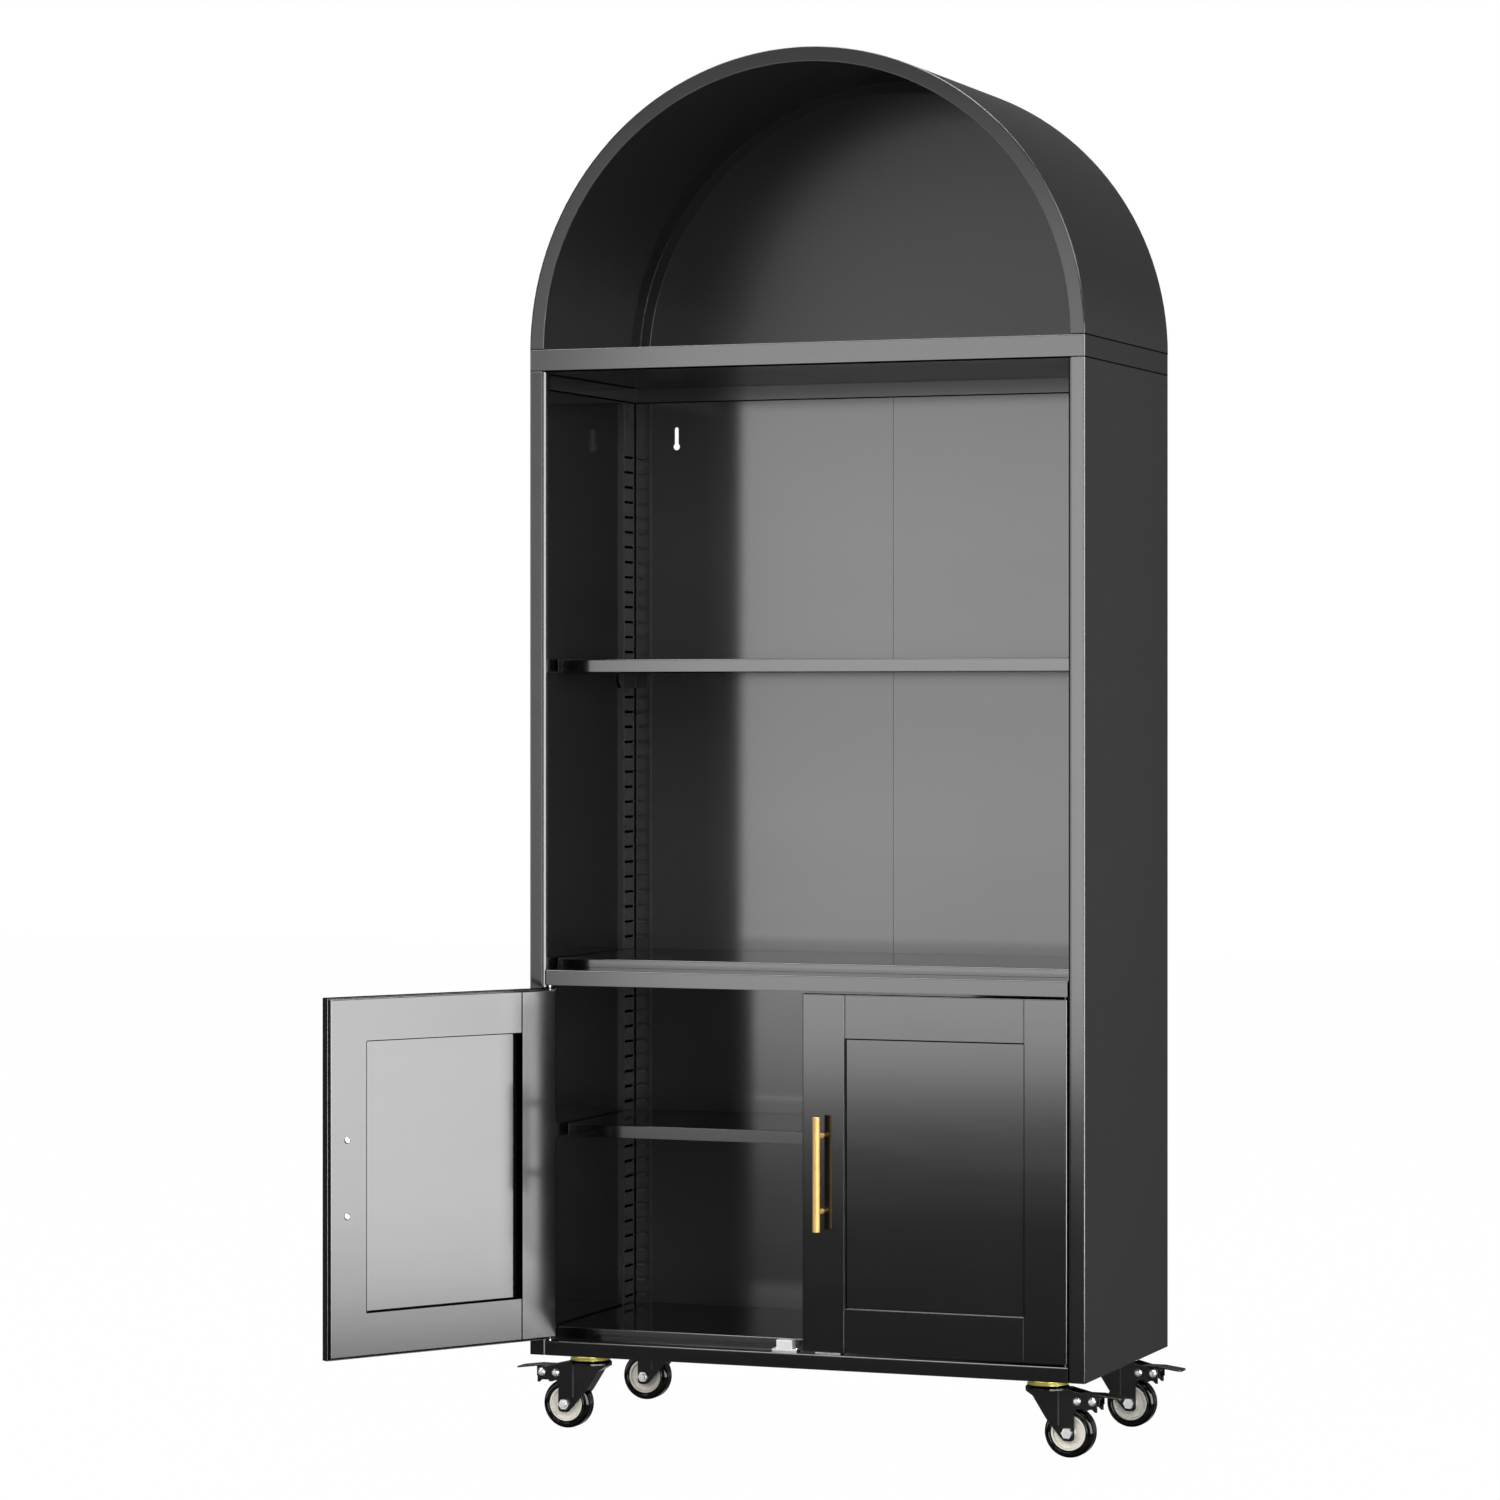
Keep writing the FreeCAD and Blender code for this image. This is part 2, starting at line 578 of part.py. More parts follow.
# Rear panel, left half: a tray open to the rear, with a keyhole near its top outer corner.
back = new_body("back_panel_left")
add(back, "XY_Plane", box("-wall_inside", "-seat_gap / 2", "back_face", "half_depth - skin"),
    "0", "wall_height")
cut(back, "XZ_Plane", box("-wall_inside + skin", "-seat_gap / 2 - skin", "skin", "wall_height - skin"),
    "back_face + skin", "back_depth + overrun")
bore(back, "XZ_Plane", [("-keyhole_x", "keyhole_bottom + keyhole_head_radius")], "keyhole_head_radius",
     "back_face - overrun", "skin + 2 * overrun")
cut(back, "XZ_Plane", box("-keyhole_x - keyhole_neck_width / 2", "-keyhole_x + keyhole_neck_width / 2",
                          "keyhole_bottom + keyhole_head_radius",
                          "keyhole_bottom + keyhole_height - keyhole_neck_width / 2"),
    "back_face - overrun", "skin + 2 * overrun")
bore(back, "XZ_Plane", [("-keyhole_x", "keyhole_bottom + keyhole_height - keyhole_neck_width / 2")],
     "keyhole_neck_width / 2", "back_face - overrun", "skin + 2 * overrun")
place(back, z="deck_height")
back_right = mirror("back_panel_right", back, (1, 0, 0))
keep(back, back_right)

# Rear upright: an angle with a row of slots in each leg, standing in the corner of wall and rear panel.
rear_rack = new_body("rear_upright_left")
add(rear_rack, "XY_Plane", [
    ("-wall_inside", "back_face - rack_side_leg"),
    ("-rack_inside", "back_face - rack_side_leg"),
    ("-rack_inside", "rack_rear_face"),
    ("-wall_inside + rack_rear_leg", "rack_rear_face"),
    ("-wall_inside + rack_rear_leg", "back_face"),
    ("-wall_inside", "back_face"),
], "0", "wall_height")
side_slot = cut(rear_rack, "YZ_Plane", box("back_face - rack_side_leg + slot_side_margin",
                                           "back_face - rack_side_leg + slot_side_margin + slot_side_length",
                                           "slot_first", "slot_first + slot_height"),
                "-wall_inside - overrun", "rack_skin + 2 * overrun")
run(rear_rack, side_slot, "Z_Axis", "rack_span", "slot_count")
face_slot = cut(rear_rack, "XZ_Plane", box("-wall_inside + rack_rear_leg - slot_face_margin - slot_face_length",
                                           "-wall_inside + rack_rear_leg - slot_face_margin",
                                           "slot_first", "slot_first + slot_height"),
                "rack_rear_face - overrun", "rack_skin + 2 * overrun")
run(rear_rack, face_slot, "Z_Axis", "rack_span", "slot_count")
place(rear_rack, z="deck_height")
rear_rack_right = mirror("rear_upright_right", rear_rack, (1, 0, 0))

# Front upright: the same angle turned round behind the stile's rolled edge.
front_rack = new_body("front_upright_left")
add(front_rack, "XY_Plane", [
    ("-wall_inside", "-half_depth + stile_return"),
    ("-wall_inside + rack_front_leg", "-half_depth + stile_return"),
    ("-wall_inside + rack_front_leg", "-rack_front_face"),
    ("-rack_inside", "-rack_front_face"),
    ("-rack_inside", "-half_depth + stile_return + rack_side_leg"),
    ("-wall_inside", "-half_depth + stile_return + rack_side_leg"),
], "0", "wall_height")
front_slot = cut(front_rack, "YZ_Plane",
                 box("-half_depth + stile_return + rack_side_leg - slot_side_margin - slot_side_length",
                     "-half_depth + stile_return + rack_side_leg - slot_side_margin",
                     "slot_first", "slot_first + slot_height"),
                 "-wall_inside - overrun", "rack_skin + 2 * overrun")
run(front_rack, front_slot, "Z_Axis", "rack_span", "slot_count")
place(front_rack, z="deck_height")
front_rack_right = mirror("front_upright_right", front_rack, (1, 0, 0))
keep(rear_rack, rear_rack_right, front_rack, front_rack_right)


def make_tray(label, level, height):
    """A tray between the walls whose front comes forward between the stiles."""
    tray = new_body(label)
    add(tray, "XY_Plane", [
        ("-tray_neck", "-half_depth"), ("tray_neck", "-half_depth"),
        ("tray_neck", "-tray_notch"), ("rack_inside", "-tray_notch"),
        ("rack_inside", "tray_rear"), ("-rack_inside", "tray_rear"),
        ("-rack_inside", "-tray_notch"), ("-tray_neck", "-tray_notch"),
    ], "0", height)
    soften(tray, "bend", along("x", y="-half_depth", z=height))
    cut(tray, "XY_Plane", [
        ("-tray_neck + skin", "-half_depth + tray_lip"), ("tray_neck - skin", "-half_depth + tray_lip"),
        ("tray_neck - skin", "-tray_notch + skin"), ("rack_inside - skin", "-tray_notch + skin"),
        ("rack_inside - skin", "tray_rear - skin"), ("-rack_inside + skin", "tray_rear - skin"),
        ("-rack_inside + skin", "-tray_notch + skin"), ("-tray_neck + skin", "-tray_notch + skin"),
    ], "-overrun", height + " - skin + overrun")
    cut(tray, "XY_Plane", box("-tray_neck + skin", "tray_neck - skin",
                              "-half_depth + skin", "-half_depth + tray_lip + overrun"),
        "skin", height + " - 2 * skin")
    place(tray, z=level)
    return tray


# The tray above the cupboard and the tray below it, each drilled for the hinge pins.
pivots = [("-pivot_x", "-pivot_y"), ("pivot_x", "-pivot_y")]
mid_tray = make_tray("mid_tray", "deck_height + mid_tray_level", "mid_tray_height")
bore(mid_tray, "XY_Plane", pivots, "pin_radius + running_gap", "-overrun", "skin + 2 * overrun")
base_tray = make_tray("base_tray", "deck_height", "base_tray_height")
bore(base_tray, "XY_Plane", pivots, "pin_radius + running_gap",
     "base_tray_height - skin - overrun", "skin + 2 * overrun")
keep(mid_tray, base_tray)

# Two channels from front to rear that carry the caster plates under the lower tray.
channels = []
for side in ("-", ""):
    channel = new_body("channel" + ("_left" if side else "_right"))
    add(channel, "XZ_Plane", [
        ("-channel_width / 2", "0"), ("channel_width / 2", "0"),
        ("channel_width / 2", "base_tray_underside - channel_level"),
        ("channel_width / 2 - channel_skin", "base_tray_underside - channel_level"),
        ("channel_width / 2 - channel_skin", "channel_skin"),
        ("-channel_width / 2 + channel_skin", "channel_skin"),
        ("-channel_width / 2 + channel_skin", "base_tray_underside - channel_level"),
        ("-channel_width / 2", "base_tray_underside - channel_level"),
    ], "-half_depth + channel_end", "2 * half_depth - 2 * channel_end")
    bore(channel, "XY_Plane", [(a + "bolt_x", b) for a in ("-", "") for b in (
        "-kingpin_y - bolt_y", "-kingpin_y + bolt_y", "kingpin_y - bolt_y", "kingpin_y + bolt_y")],
        "bolt_radius + running_gap", "-overrun", "channel_skin + 2 * overrun")
    place(channel, x=side + "kingpin_x", z="channel_level")
    channels.append(channel)
keep(group("caster_channels", channels))


def make_shelf(label, level, height, setback):
    """A shelf folded down on all sides, lipped at front and rear, with a channel along its middle."""
    shelf = new_body(label)
    front = "-half_depth + " + setback
    add(shelf, "XY_Plane", box("-shelf_half", "shelf_half", front, "shelf_rear"), "0", height)
    soften(shelf, "bend", along("x", y=front, z=height), along("z", x="shelf_half", y=front),
           along("z", x="-shelf_half", y=front))
    cut(shelf, "XY_Plane", box("-shelf_half + skin", "shelf_half - skin",
                               front + " + skin", "shelf_rear - skin"),
        "skin", height + " - 2 * skin")
    cut(shelf, "XY_Plane", box("-shelf_half + skin", "shelf_half - skin",
                               front + " + shelf_lip", "shelf_rear - shelf_lip"),
        "-overrun", "skin + 2 * overrun")
    middle = "(%s + shelf_rear) / 2" % front
    rib_foot = height + " * shelf_rib_share"
    add(shelf, "XY_Plane", box("-shelf_half + skin", "shelf_half - skin", middle + " - shelf_rib_width / 2",
                               middle + " + shelf_rib_width / 2"),
        rib_foot, height + " - skin - " + rib_foot)
    cut(shelf, "YZ_Plane", box(middle + " - shelf_rib_width / 2 + skin", middle + " + shelf_rib_width / 2 - skin",
                               rib_foot + " + skin", height + " - skin"),
        "-shelf_half + skin", "2 * shelf_half - 2 * skin")
    place(shelf, z=level)
    return shelf


shelf_upper = make_shelf("upper_shelf", "deck_height + upper_shelf_level",
                         "upper_shelf_height", "shelf_setback")
shelf_middle = make_shelf("middle_shelf", "deck_height + mid_tray_top",
                          "middle_shelf_height", "shelf_setback")
shelf_inner = make_shelf("inner_shelf", "deck_height + inner_shelf_level",
                         "inner_shelf_height", "inner_setback")
shelf_floor = make_shelf("floor_shelf", "deck_height + base_tray_height",
                         "floor_shelf_height", "shelf_setback")
keep(shelf_upper, shelf_middle, shelf_inner, shelf_floor)


def make_clip(label, level, corner, inward):
    """A corner clip: two legs on the upright, a seat for the shelf and tabs in the upright's slots."""
    clip = new_body(label)

    def at(rule):
        """A distance from the corner towards the middle of the cabinet."""
        return "%s%s(%s)" % (corner, " + " if inward > 0 else " - ", rule)
    tab_foot = "-clip_rise + tab_room"
    tab_height = "slot_height - 2 * tab_room"
    add(clip, "XY_Plane", [
        ("-rack_inside", at("0")),
        ("-rack_inside + clip_face_leg", at("0")),
        ("-rack_inside + clip_face_leg", at("clip_skin")),
        ("-rack_inside + clip_skin", at("clip_skin")),
        ("-rack_inside + clip_skin", at("clip_side_leg")),
        ("-rack_inside", at("clip_side_leg")),
    ], "-clip_height", "clip_height")
    cut(clip, "YZ_Plane", [
        (at("clip_side_leg - clip_chamfer"), "-clip_height"),
        (at("clip_side_leg + overrun"), "-clip_height"),
        (at("clip_side_leg + overrun"), "-clip_height + clip_chamfer + overrun"),
    ], "-rack_inside - overrun", "clip_skin + 2 * overrun")
    add(clip, "XY_Plane", [
        ("-rack_inside", at("0")),
        ("-rack_inside + clip_seat", at("0")),
        ("-rack_inside + clip_seat", at("clip_side_leg - clip_chamfer")),
        ("-rack_inside", at("clip_side_leg - clip_chamfer")),
    ], "-clip_skin", "clip_skin")
    add(clip, "XY_Plane", [
        ("-wall_inside + seat_gap", at("slot_from_corner + tab_room")),
        ("-rack_inside + clip_skin", at("slot_from_corner + tab_room")),
        ("-rack_inside + clip_skin", at("slot_from_corner + slot_side_length - tab_room")),
        ("-wall_inside + seat_gap", at("slot_from_corner + slot_side_length - tab_room")),
    ], tab_foot, tab_height)
    if inward < 0:
        face_end = "-wall_inside + rack_rear_leg - slot_face_margin - tab_room"
        add(clip, "XY_Plane", box(face_end + " - slot_face_length + 2 * tab_room", face_end,
                                  at("clip_skin"), "back_face - seat_gap"), tab_foot, tab_height)
    place(clip, z=level)
    return clip


clips = []
for shelf_name in ("upper", "inner"):
    level = "deck_height + %s_shelf_level" % shelf_name
    rear_clip = make_clip("clip_rear_" + shelf_name, level, "rack_rear_face", -1)
    front_clip = make_clip("clip_front_" + shelf_name, level, "-rack_front_face", 1)
    clips += [rear_clip, front_clip]
    clips += [mirror(item.Label + "_right", item, (1, 0, 0)) for item in (rear_clip, front_clip)]
keep(group("shelf_clips", clips))


def make_door(side, sign, angle):
    """One door with its frame, handle and pins, drawn closed about its hinge axis."""
    def across(rule):
        return "%s(%s)" % (sign, rule) if sign else rule

    def area(x0, x1, z0, z1):
        return box(across(x0), across(x1), z0, z1)

    def put(thing):
        return place(thing, x="-pivot_x" if side == "left" else "pivot_x", y="-pivot_y",
                     z="door_level", turn=angle)

    edge_x = "-pin_inset"
    skin_body = new_body("door_%s_skin" % side)
    add(skin_body, "XZ_Plane", area(edge_x, "door_edge", "0", "door_height"),
        "-pin_inset", "door_edge_depth")
    soften(skin_body, "bend",
           along("z", x=across(edge_x), y="-pin_inset"), along("z", x=across("door_edge"), y="-pin_inset"),
           along("x", z="0", y="-pin_inset"), along("x", z="door_height", y="-pin_inset"))
    cut(skin_body, "XZ_Plane", area(edge_x + " + skin", "door_edge - skin",
                                    "skin", "door_height - skin"),
        "-pin_inset + skin", "door_edge_depth + overrun")
    add(skin_body, "XZ_Plane", area(edge_x + " + door_rail - skin", "door_edge - door_rail + skin",
                                    "door_rail - skin", "door_height - door_rail + skin"),
        "-pin_inset", "door_field_sink + skin")
    cut(skin_body, "XZ_Plane", area(edge_x + " + door_rail", "door_edge - door_rail",
                                    "door_rail", "door_height - door_rail"),
        "-pin_inset - overrun", "door_field_sink + overrun")
    for line in (edge_x + " + door_rail", "door_edge - door_rail"):
        for foot, head in (("0", "door_rail"), ("door_height - door_rail", "door_height")):
            cut(skin_body, "XZ_Plane", area(line + " - seam_width / 2", line + " + seam_width / 2", foot, head),
                "-pin_inset - overrun", "seam_depth + overrun")
    posts = [(across("bar_x"), "door_height / 2 - post_pitch / 2"),
             (across("bar_x"), "door_height / 2 + post_pitch / 2")]
    bore(skin_body, "XZ_Plane", posts, "screw_radius + screw_room",
         "-pin_inset - overrun", "skin + 2 * overrun")
    bore(skin_body, "XY_Plane", [("0", "0")], "pin_radius + running_gap",
         "-overrun", "door_height + 2 * overrun")
    put(skin_body)

    frame = new_body("door_%s_frame" % side)
    inset = "skin + door_groove"
    add(frame, "XZ_Plane", area(edge_x + " + " + inset, "door_edge - skin - door_groove", inset,
                                "door_height - skin - door_groove"),
        "field_rear", "door_inner_face - field_rear")
    soften(frame, "bend", *[along(line, **spots) for line, spots in (
        ("z", {"x": across(edge_x + " + " + inset), "y": "door_inner_face"}),
        ("z", {"x": across("door_edge - skin - door_groove"), "y": "door_inner_face"}),
        ("x", {"z": inset, "y": "door_inner_face"}),
        ("x", {"z": "door_height - skin - door_groove", "y": "door_inner_face"}))])
    cut(frame, "XZ_Plane", area(edge_x + " + 2 * skin + door_groove", "door_edge - 2 * skin - door_groove",
                                "2 * skin + door_groove", "door_height - 2 * skin - door_groove"),
        "field_rear - overrun", "door_inner_face - field_rear - skin + overrun")
    add(frame, "XZ_Plane", area(edge_x + " + door_rail - skin", "door_edge - door_rail + skin",
                                "door_rail - skin", "door_height - door_rail + skin"),
        "field_rear", "door_inner_face - field_rear")
    cut(frame, "XZ_Plane", area(edge_x + " + door_rail", "door_edge - door_rail",
                                "door_rail", "door_height - door_rail"),
        "field_rear - overrun", "door_inner_face - field_rear + 2 * overrun")
    seam = edge_x + " + door_rail"
    for foot, head in ((inset, "door_rail"), ("door_height - door_rail", "door_height - skin - door_groove")):
        cut(frame, "XZ_Plane", area(seam + " - seam_width / 2", seam + " + seam_width / 2", foot, head),
            "door_inner_face - seam_depth", "seam_depth + overrun")
    bore(frame, "XZ_Plane", posts, "screw_radius + screw_room", "door_inner_face - skin - overrun",
         "skin + 2 * overrun")
    put(frame)

    bar = new_body("door_%s_handle_bar" % side)
    boss(bar, "XY_Plane", [(across("bar_x"), "-bar_y")], "bar_radius",
         "door_height / 2 - bar_length / 2", "bar_length")
    soften(bar, "bar_tip", ring_at("z", "door_height / 2 - bar_length / 2", "bar_radius"),
           ring_at("z", "door_height / 2 + bar_length / 2", "bar_radius"))
    put(bar)

    holders = []
    for i, spot in enumerate(posts):
        holder = new_body("door_%s_post_%d" % (side, i))
        boss(holder, "XZ_Plane", [spot], "post_radius", "-bar_y", "bar_standoff")
        bore(holder, "XY_Plane", [(across("bar_x"), "-bar_y")], "bar_radius", "0", "door_height")
        bore(holder, "XZ_Plane", [spot], "screw_radius + running_gap", "-pin_inset - post_bore_depth",
             "post_bore_depth + overrun")
        put(holder)
        holders.append(holder)
    both_posts = group("door_%s_handle_posts" % side, holders)

    screws = []
    for i, spot in enumerate(posts):
        screw = new_body("door_%s_screw_%d" % (side, i))
        boss(screw, "XZ_Plane", [spot], "screw_head_radius", "door_inner_face", "screw_head_height")
        soften(screw, "screw_head_height - seat_gap",
               ring_at("y", "door_inner_face + screw_head_height", "screw_head_radius"))
        boss(screw, "XZ_Plane", [spot], "screw_radius", "-pin_inset - post_bore_depth + post_bore_spare",
             "door_thickness + post_bore_depth - post_bore_spare")
        put(screw)
        screws.append(screw)
    both_screws = group("door_%s_handle_screws" % side, screws)

    pins = []
    for i, (foot, far, collar) in enumerate((
            ("-door_foot_gap - pin_reach", "door_foot_gap + pin_reach + skin + pin_collar_height", "skin"),
            ("door_height - skin - pin_collar_height",
             "skin + pin_collar_height + door_head_gap + pin_reach", "door_height - skin - pin_collar_height"))):
        pin = new_body("door_%s_pin_%d" % (side, i))
        boss(pin, "XY_Plane", [("0", "0")], "pin_radius", foot, far)
        boss(pin, "XY_Plane", [("0", "0")], "pin_collar_radius", collar, "pin_collar_height")
        put(pin)
        pins.append(pin)
    both_pins = group("door_%s_pins" % side, pins)
    keep(skin_body, frame, bar, both_posts, both_screws, both_pins)


make_door("left", "", "-door_open_angle")
make_door("right", "-", None)

# Magnetic catches: a plastic block on a small metal foot that stands on the lower tray.
blocks, feet = [], []
catch_face = "-half_depth + door_set_in + door_thickness + seat_gap"
for side in ("-", ""):
    spot = side + "catch_x"
    block = new_body("catch_block" + ("_left" if side else "_right"))
    add(block, "XY_Plane", box("-catch_width / 2", "catch_width / 2", "0", "catch_depth"),
        "0", "catch_height")
    soften(block, "catch_round", *[along(line, **spots) for line, spots in (
        ("z", {"x": "-catch_width / 2", "y": "0"}), ("z", {"x": "catch_width / 2", "y": "0"}),
        ("x", {"y": "0", "z": "catch_height"}), ("z", {"x": "-catch_width / 2", "y": "catch_depth"}),
        ("z", {"x": "catch_width / 2", "y": "catch_depth"}))])
    place(block, x=spot, y=catch_face, z="deck_height + base_tray_height + catch_foot_height")
    blocks.append(block)
    foot = new_body("catch_foot" + ("_left" if side else "_right"))
    add(foot, "XY_Plane", box("-catch_foot_width / 2", "catch_foot_width / 2", "0", "catch_depth"),
        "0", "catch_foot_height")
    screw_spots = [("-catch_foot_width / 2 + catch_screw_edge", "catch_depth / 2"),
                   ("catch_foot_width / 2 - catch_screw_edge", "catch_depth / 2")]
    boss(foot, "XY_Plane", screw_spots, "catch_screw_radius", "catch_foot_height", "catch_screw_height")
    place(foot, x=spot, y=catch_face, z="deck_height + base_tray_height")
    feet.append(foot)
keep(group("catch_blocks", blocks), group("catch_feet", feet))

# Casters. Each is drawn about its swivel axis with the wheel behind it along +X.
SPOTS = [("front_left", "-", "-", "caster_turn"), ("front_right", "", "-", None),
         ("rear_left", "-", "", "caster_turn"), ("rear_right", "", "", None)]
plates, races, kingpins, bolts = [], [], [], []


def hexagon(x, y, radius):
    """Corners of a hexagon with two corners on its X axis."""
    flat = "%s * sqrt(3) / 2" % radius
    half = "%s / 2" % radius
    return [(x + " + " + radius, y), (x + " + " + half, "%s + %s" % (y, flat)),
            (x + " - " + half, "%s + %s" % (y, flat)), (x + " - " + radius, y),
            (x + " - " + half, "%s - %s" % (y, flat)), (x + " + " + half, "%s - %s" % (y, flat))]


def make_fork(label):
    """Pressed fork: two legs with a raked nose between them, a dished crown and arms for the brake."""
    fork = new_body(label)
    add(fork, "XZ_Plane", [
        ("-nose_top", "fork_top"),
        ("-nose_top", "fork_top - nose_lip"),
        ("-nose_break", "nose_break_level"),
        ("nose_foot", "nose_foot_level"),
        ("trail - leg_crease", "leg_crease_level"),
        ("trail - leg_foot_front", "wheel_radius - leg_foot"),
        ("trail + leg_rear", "wheel_radius - leg_foot"),
        ("trail + leg_rear", "arm_level - arm_rise"),
        ("trail + leg_rear + arm_rise", "arm_level"),
        ("trail + rivet_far", "arm_level"),
        ("trail + rivet_far + arm_hook", "arm_level - arm_rise"),
        ("trail + arm_reach", "arm_level - arm_rise"),
        ("trail + arm_reach", "arm_end_level"),
        ("dish_radius", "fork_top"),
    ], "0", "2 * leg_half", True)
    for side in ("", "-"):
        cut(fork, "XY_Plane", [
            ("trail - leg_crease", side + "(leg_half)"),
            ("-nose_top", side + "(nose_half)"),
            ("-nose_top - overrun", side + "(nose_half)"),
            ("-nose_top - overrun", side + "(leg_half + overrun)"),
            ("trail - leg_crease", side + "(leg_half + overrun)"),
        ], "0", "fork_top + overrun")
    cut(fork, "XY_Plane", [
        ("-nose_top + fork_skin", "-nose_half + fork_skin"),
        ("trail - leg_crease", "-fork_gap / 2"),
        ("trail + arm_reach + overrun", "-fork_gap / 2"),
        ("trail + arm_reach + overrun", "fork_gap / 2"),
        ("trail - leg_crease", "fork_gap / 2"),
        ("-nose_top + fork_skin", "nose_half - fork_skin"),
    ], "0", "crown_underside")
    cut(fork, "XY_Plane", box("dish_radius", "trail + arm_reach + overrun", "-fork_gap / 2", "fork_gap / 2"),
        "crown_underside - fork_skin", "fork_skin + fork_top")
    add(fork, "XZ_Plane", [
        ("-nose_top", "fork_top - nose_lip"),
        ("-nose_break", "nose_break_level"),
        ("nose_foot", "nose_foot_level"),
        ("nose_foot + fork_skin", "nose_foot_level + fork_skin / 2"),
        ("-nose_break + fork_skin", "nose_break_level + fork_skin / 2"),
        ("-nose_top + fork_skin", "fork_top - nose_lip + fork_skin / 2"),
        ("-nose_top + fork_skin", "fork_top - fork_skin / 2"),
        ("-nose_top", "fork_top - fork_skin / 2"),
    ], "0", "2 * nose_half - 2 * seat_gap", True)
    spin(fork, "XZ_Plane", [
        ("0", "crown_underside"), ("dish_radius", "crown_underside"), ("dish_radius", "fork_top"),
        ("dish_top_radius", "race_level - seat_gap"), ("0", "race_level - seat_gap"),
    ], "Z_Axis")
    bore(fork, "XY_Plane", [("0", "0")], "kingpin_radius + running_gap", "crown_underside - overrun",
         "race_level - crown_underside + 2 * overrun")
    bore(fork, "XZ_Plane", [("trail", "wheel_radius")], "axle_radius + running_gap",
         "0", "2 * half_depth", True)
    bore(fork, "XZ_Plane", [("trail + rivet_near", "rivet_level"), ("trail + rivet_far", "rivet_level")],
         "rivet_radius + running_gap", "0", "2 * half_depth", True)
    soften(fork, "leg_foot / 2", along("y", x="trail + leg_rear", z="wheel_radius - leg_foot"),
           along("y", x="trail - leg_foot_front", z="wheel_radius - leg_foot"))
    return fork


def make_axle(label):
    """Wheel bolt: hexagon head in front, nut and thread end behind."""
    axle = new_body(label)
    boss(axle, "XZ_Plane", [("trail", "wheel_radius")], "axle_radius", "-leg_half - hex_height",
         "2 * leg_half + 2 * hex_height + thread_reach")
    add(axle, "XZ_Plane", hexagon("trail", "wheel_radius", "hex_radius"),
        "-leg_half - hex_height", "hex_height")
    add(axle, "XZ_Plane", hexagon("trail", "wheel_radius", "hex_radius"), "leg_half", "hex_height")
    return axle


def make_rivet(label, behind):
    """Domed rivet through both arms."""
    rivet = new_body(label)
    spot = [("trail + " + behind, "rivet_level")]
    boss(rivet, "XZ_Plane", spot, "rivet_radius", "0", "2 * leg_half + rivet_head_height", True)
    for start, face in (("-leg_half - rivet_head_height", "-leg_half - rivet_head_height"),
                        ("leg_half", "leg_half + rivet_head_height")):
        boss(rivet, "XZ_Plane", spot, "rivet_head_radius", start, "rivet_head_height")
        soften(rivet, "rivet_head_height - seat_gap", ring_at("y", face, "rivet_head_radius"))
    return rivet


def make_brake(label):
    """Foot brake: two cheeks under a web, a shoe above the tyre and a pedal behind the arms."""
    brake = new_body(label)
    pivot = "trail + rivet_near"
    outer = "trail + rivet_far"
    cheek = "fork_gap / 2 - brake_gap"
    top = "rivet_level + lever_rise"
    tip = "trail + arm_reach + pedal_gap"
    add(brake, "XZ_Plane", [
        (pivot + " - lever_front", "rivet_level - lever_drop"),
        (outer + " + lever_rear", "rivet_level - lever_drop"),
        (outer + " + lever_rear", top),
        (pivot + " - lever_front", top),
    ], "0", "2 * (%s)" % cheek, True)
    soften(brake, "lever_drop - seat_gap",
           along("y", x=pivot + " - lever_front", z="rivet_level - lever_drop"))
    cut(brake, "XZ_Plane", [
        (pivot + " - lever_front - overrun", "rivet_level - lever_drop - overrun"),
        (outer + " + lever_rear + overrun", "rivet_level - lever_drop - overrun"),
        (outer + " + lever_rear + overrun", top + " - brake_skin"),
        (pivot + " - lever_front - overrun", top + " - brake_skin"),
    ], "0", "2 * (%s - brake_skin)" % cheek, True)
    add(brake, "XZ_Plane", [
        (pivot + " + shoe_front", "rivet_level - shoe_drop"),
        (pivot + " + shoe_front + shoe_length", "rivet_level - shoe_drop"),
        (pivot + " + shoe_front + shoe_length", "rivet_level - lever_drop + brake_skin"),
        (pivot + " + shoe_front", "rivet_level - lever_drop + brake_skin"),
    ], "0", "2 * (%s)" % cheek, True)
    add(brake, "XZ_Plane", [
        (tip, top + " - brake_skin"),
        (tip + " + pedal_length", top + " - brake_skin - pedal_fall"),
        (tip + " + pedal_length", top + " - pedal_fall"),
        (tip, top),
    ], "0", "pedal_width", True)
    soften(brake, "pedal_round", along("z", x=tip + " + pedal_length", y="pedal_width / 2"),
           along("z", x=tip + " + pedal_length", y="-pedal_width / 2"))
    bore(brake, "XZ_Plane", [(pivot, "rivet_level")], "rivet_radius + running_gap",
         "0", "2 * half_depth", True)
    cut(brake, "XZ_Plane", box(outer + " - lever_slot_width / 2", outer + " + lever_slot_width / 2",
                               "rivet_level - lever_slot_width / 2", "rivet_level + lever_slot_top"),
        "0", "2 * half_depth", True)
    return brake


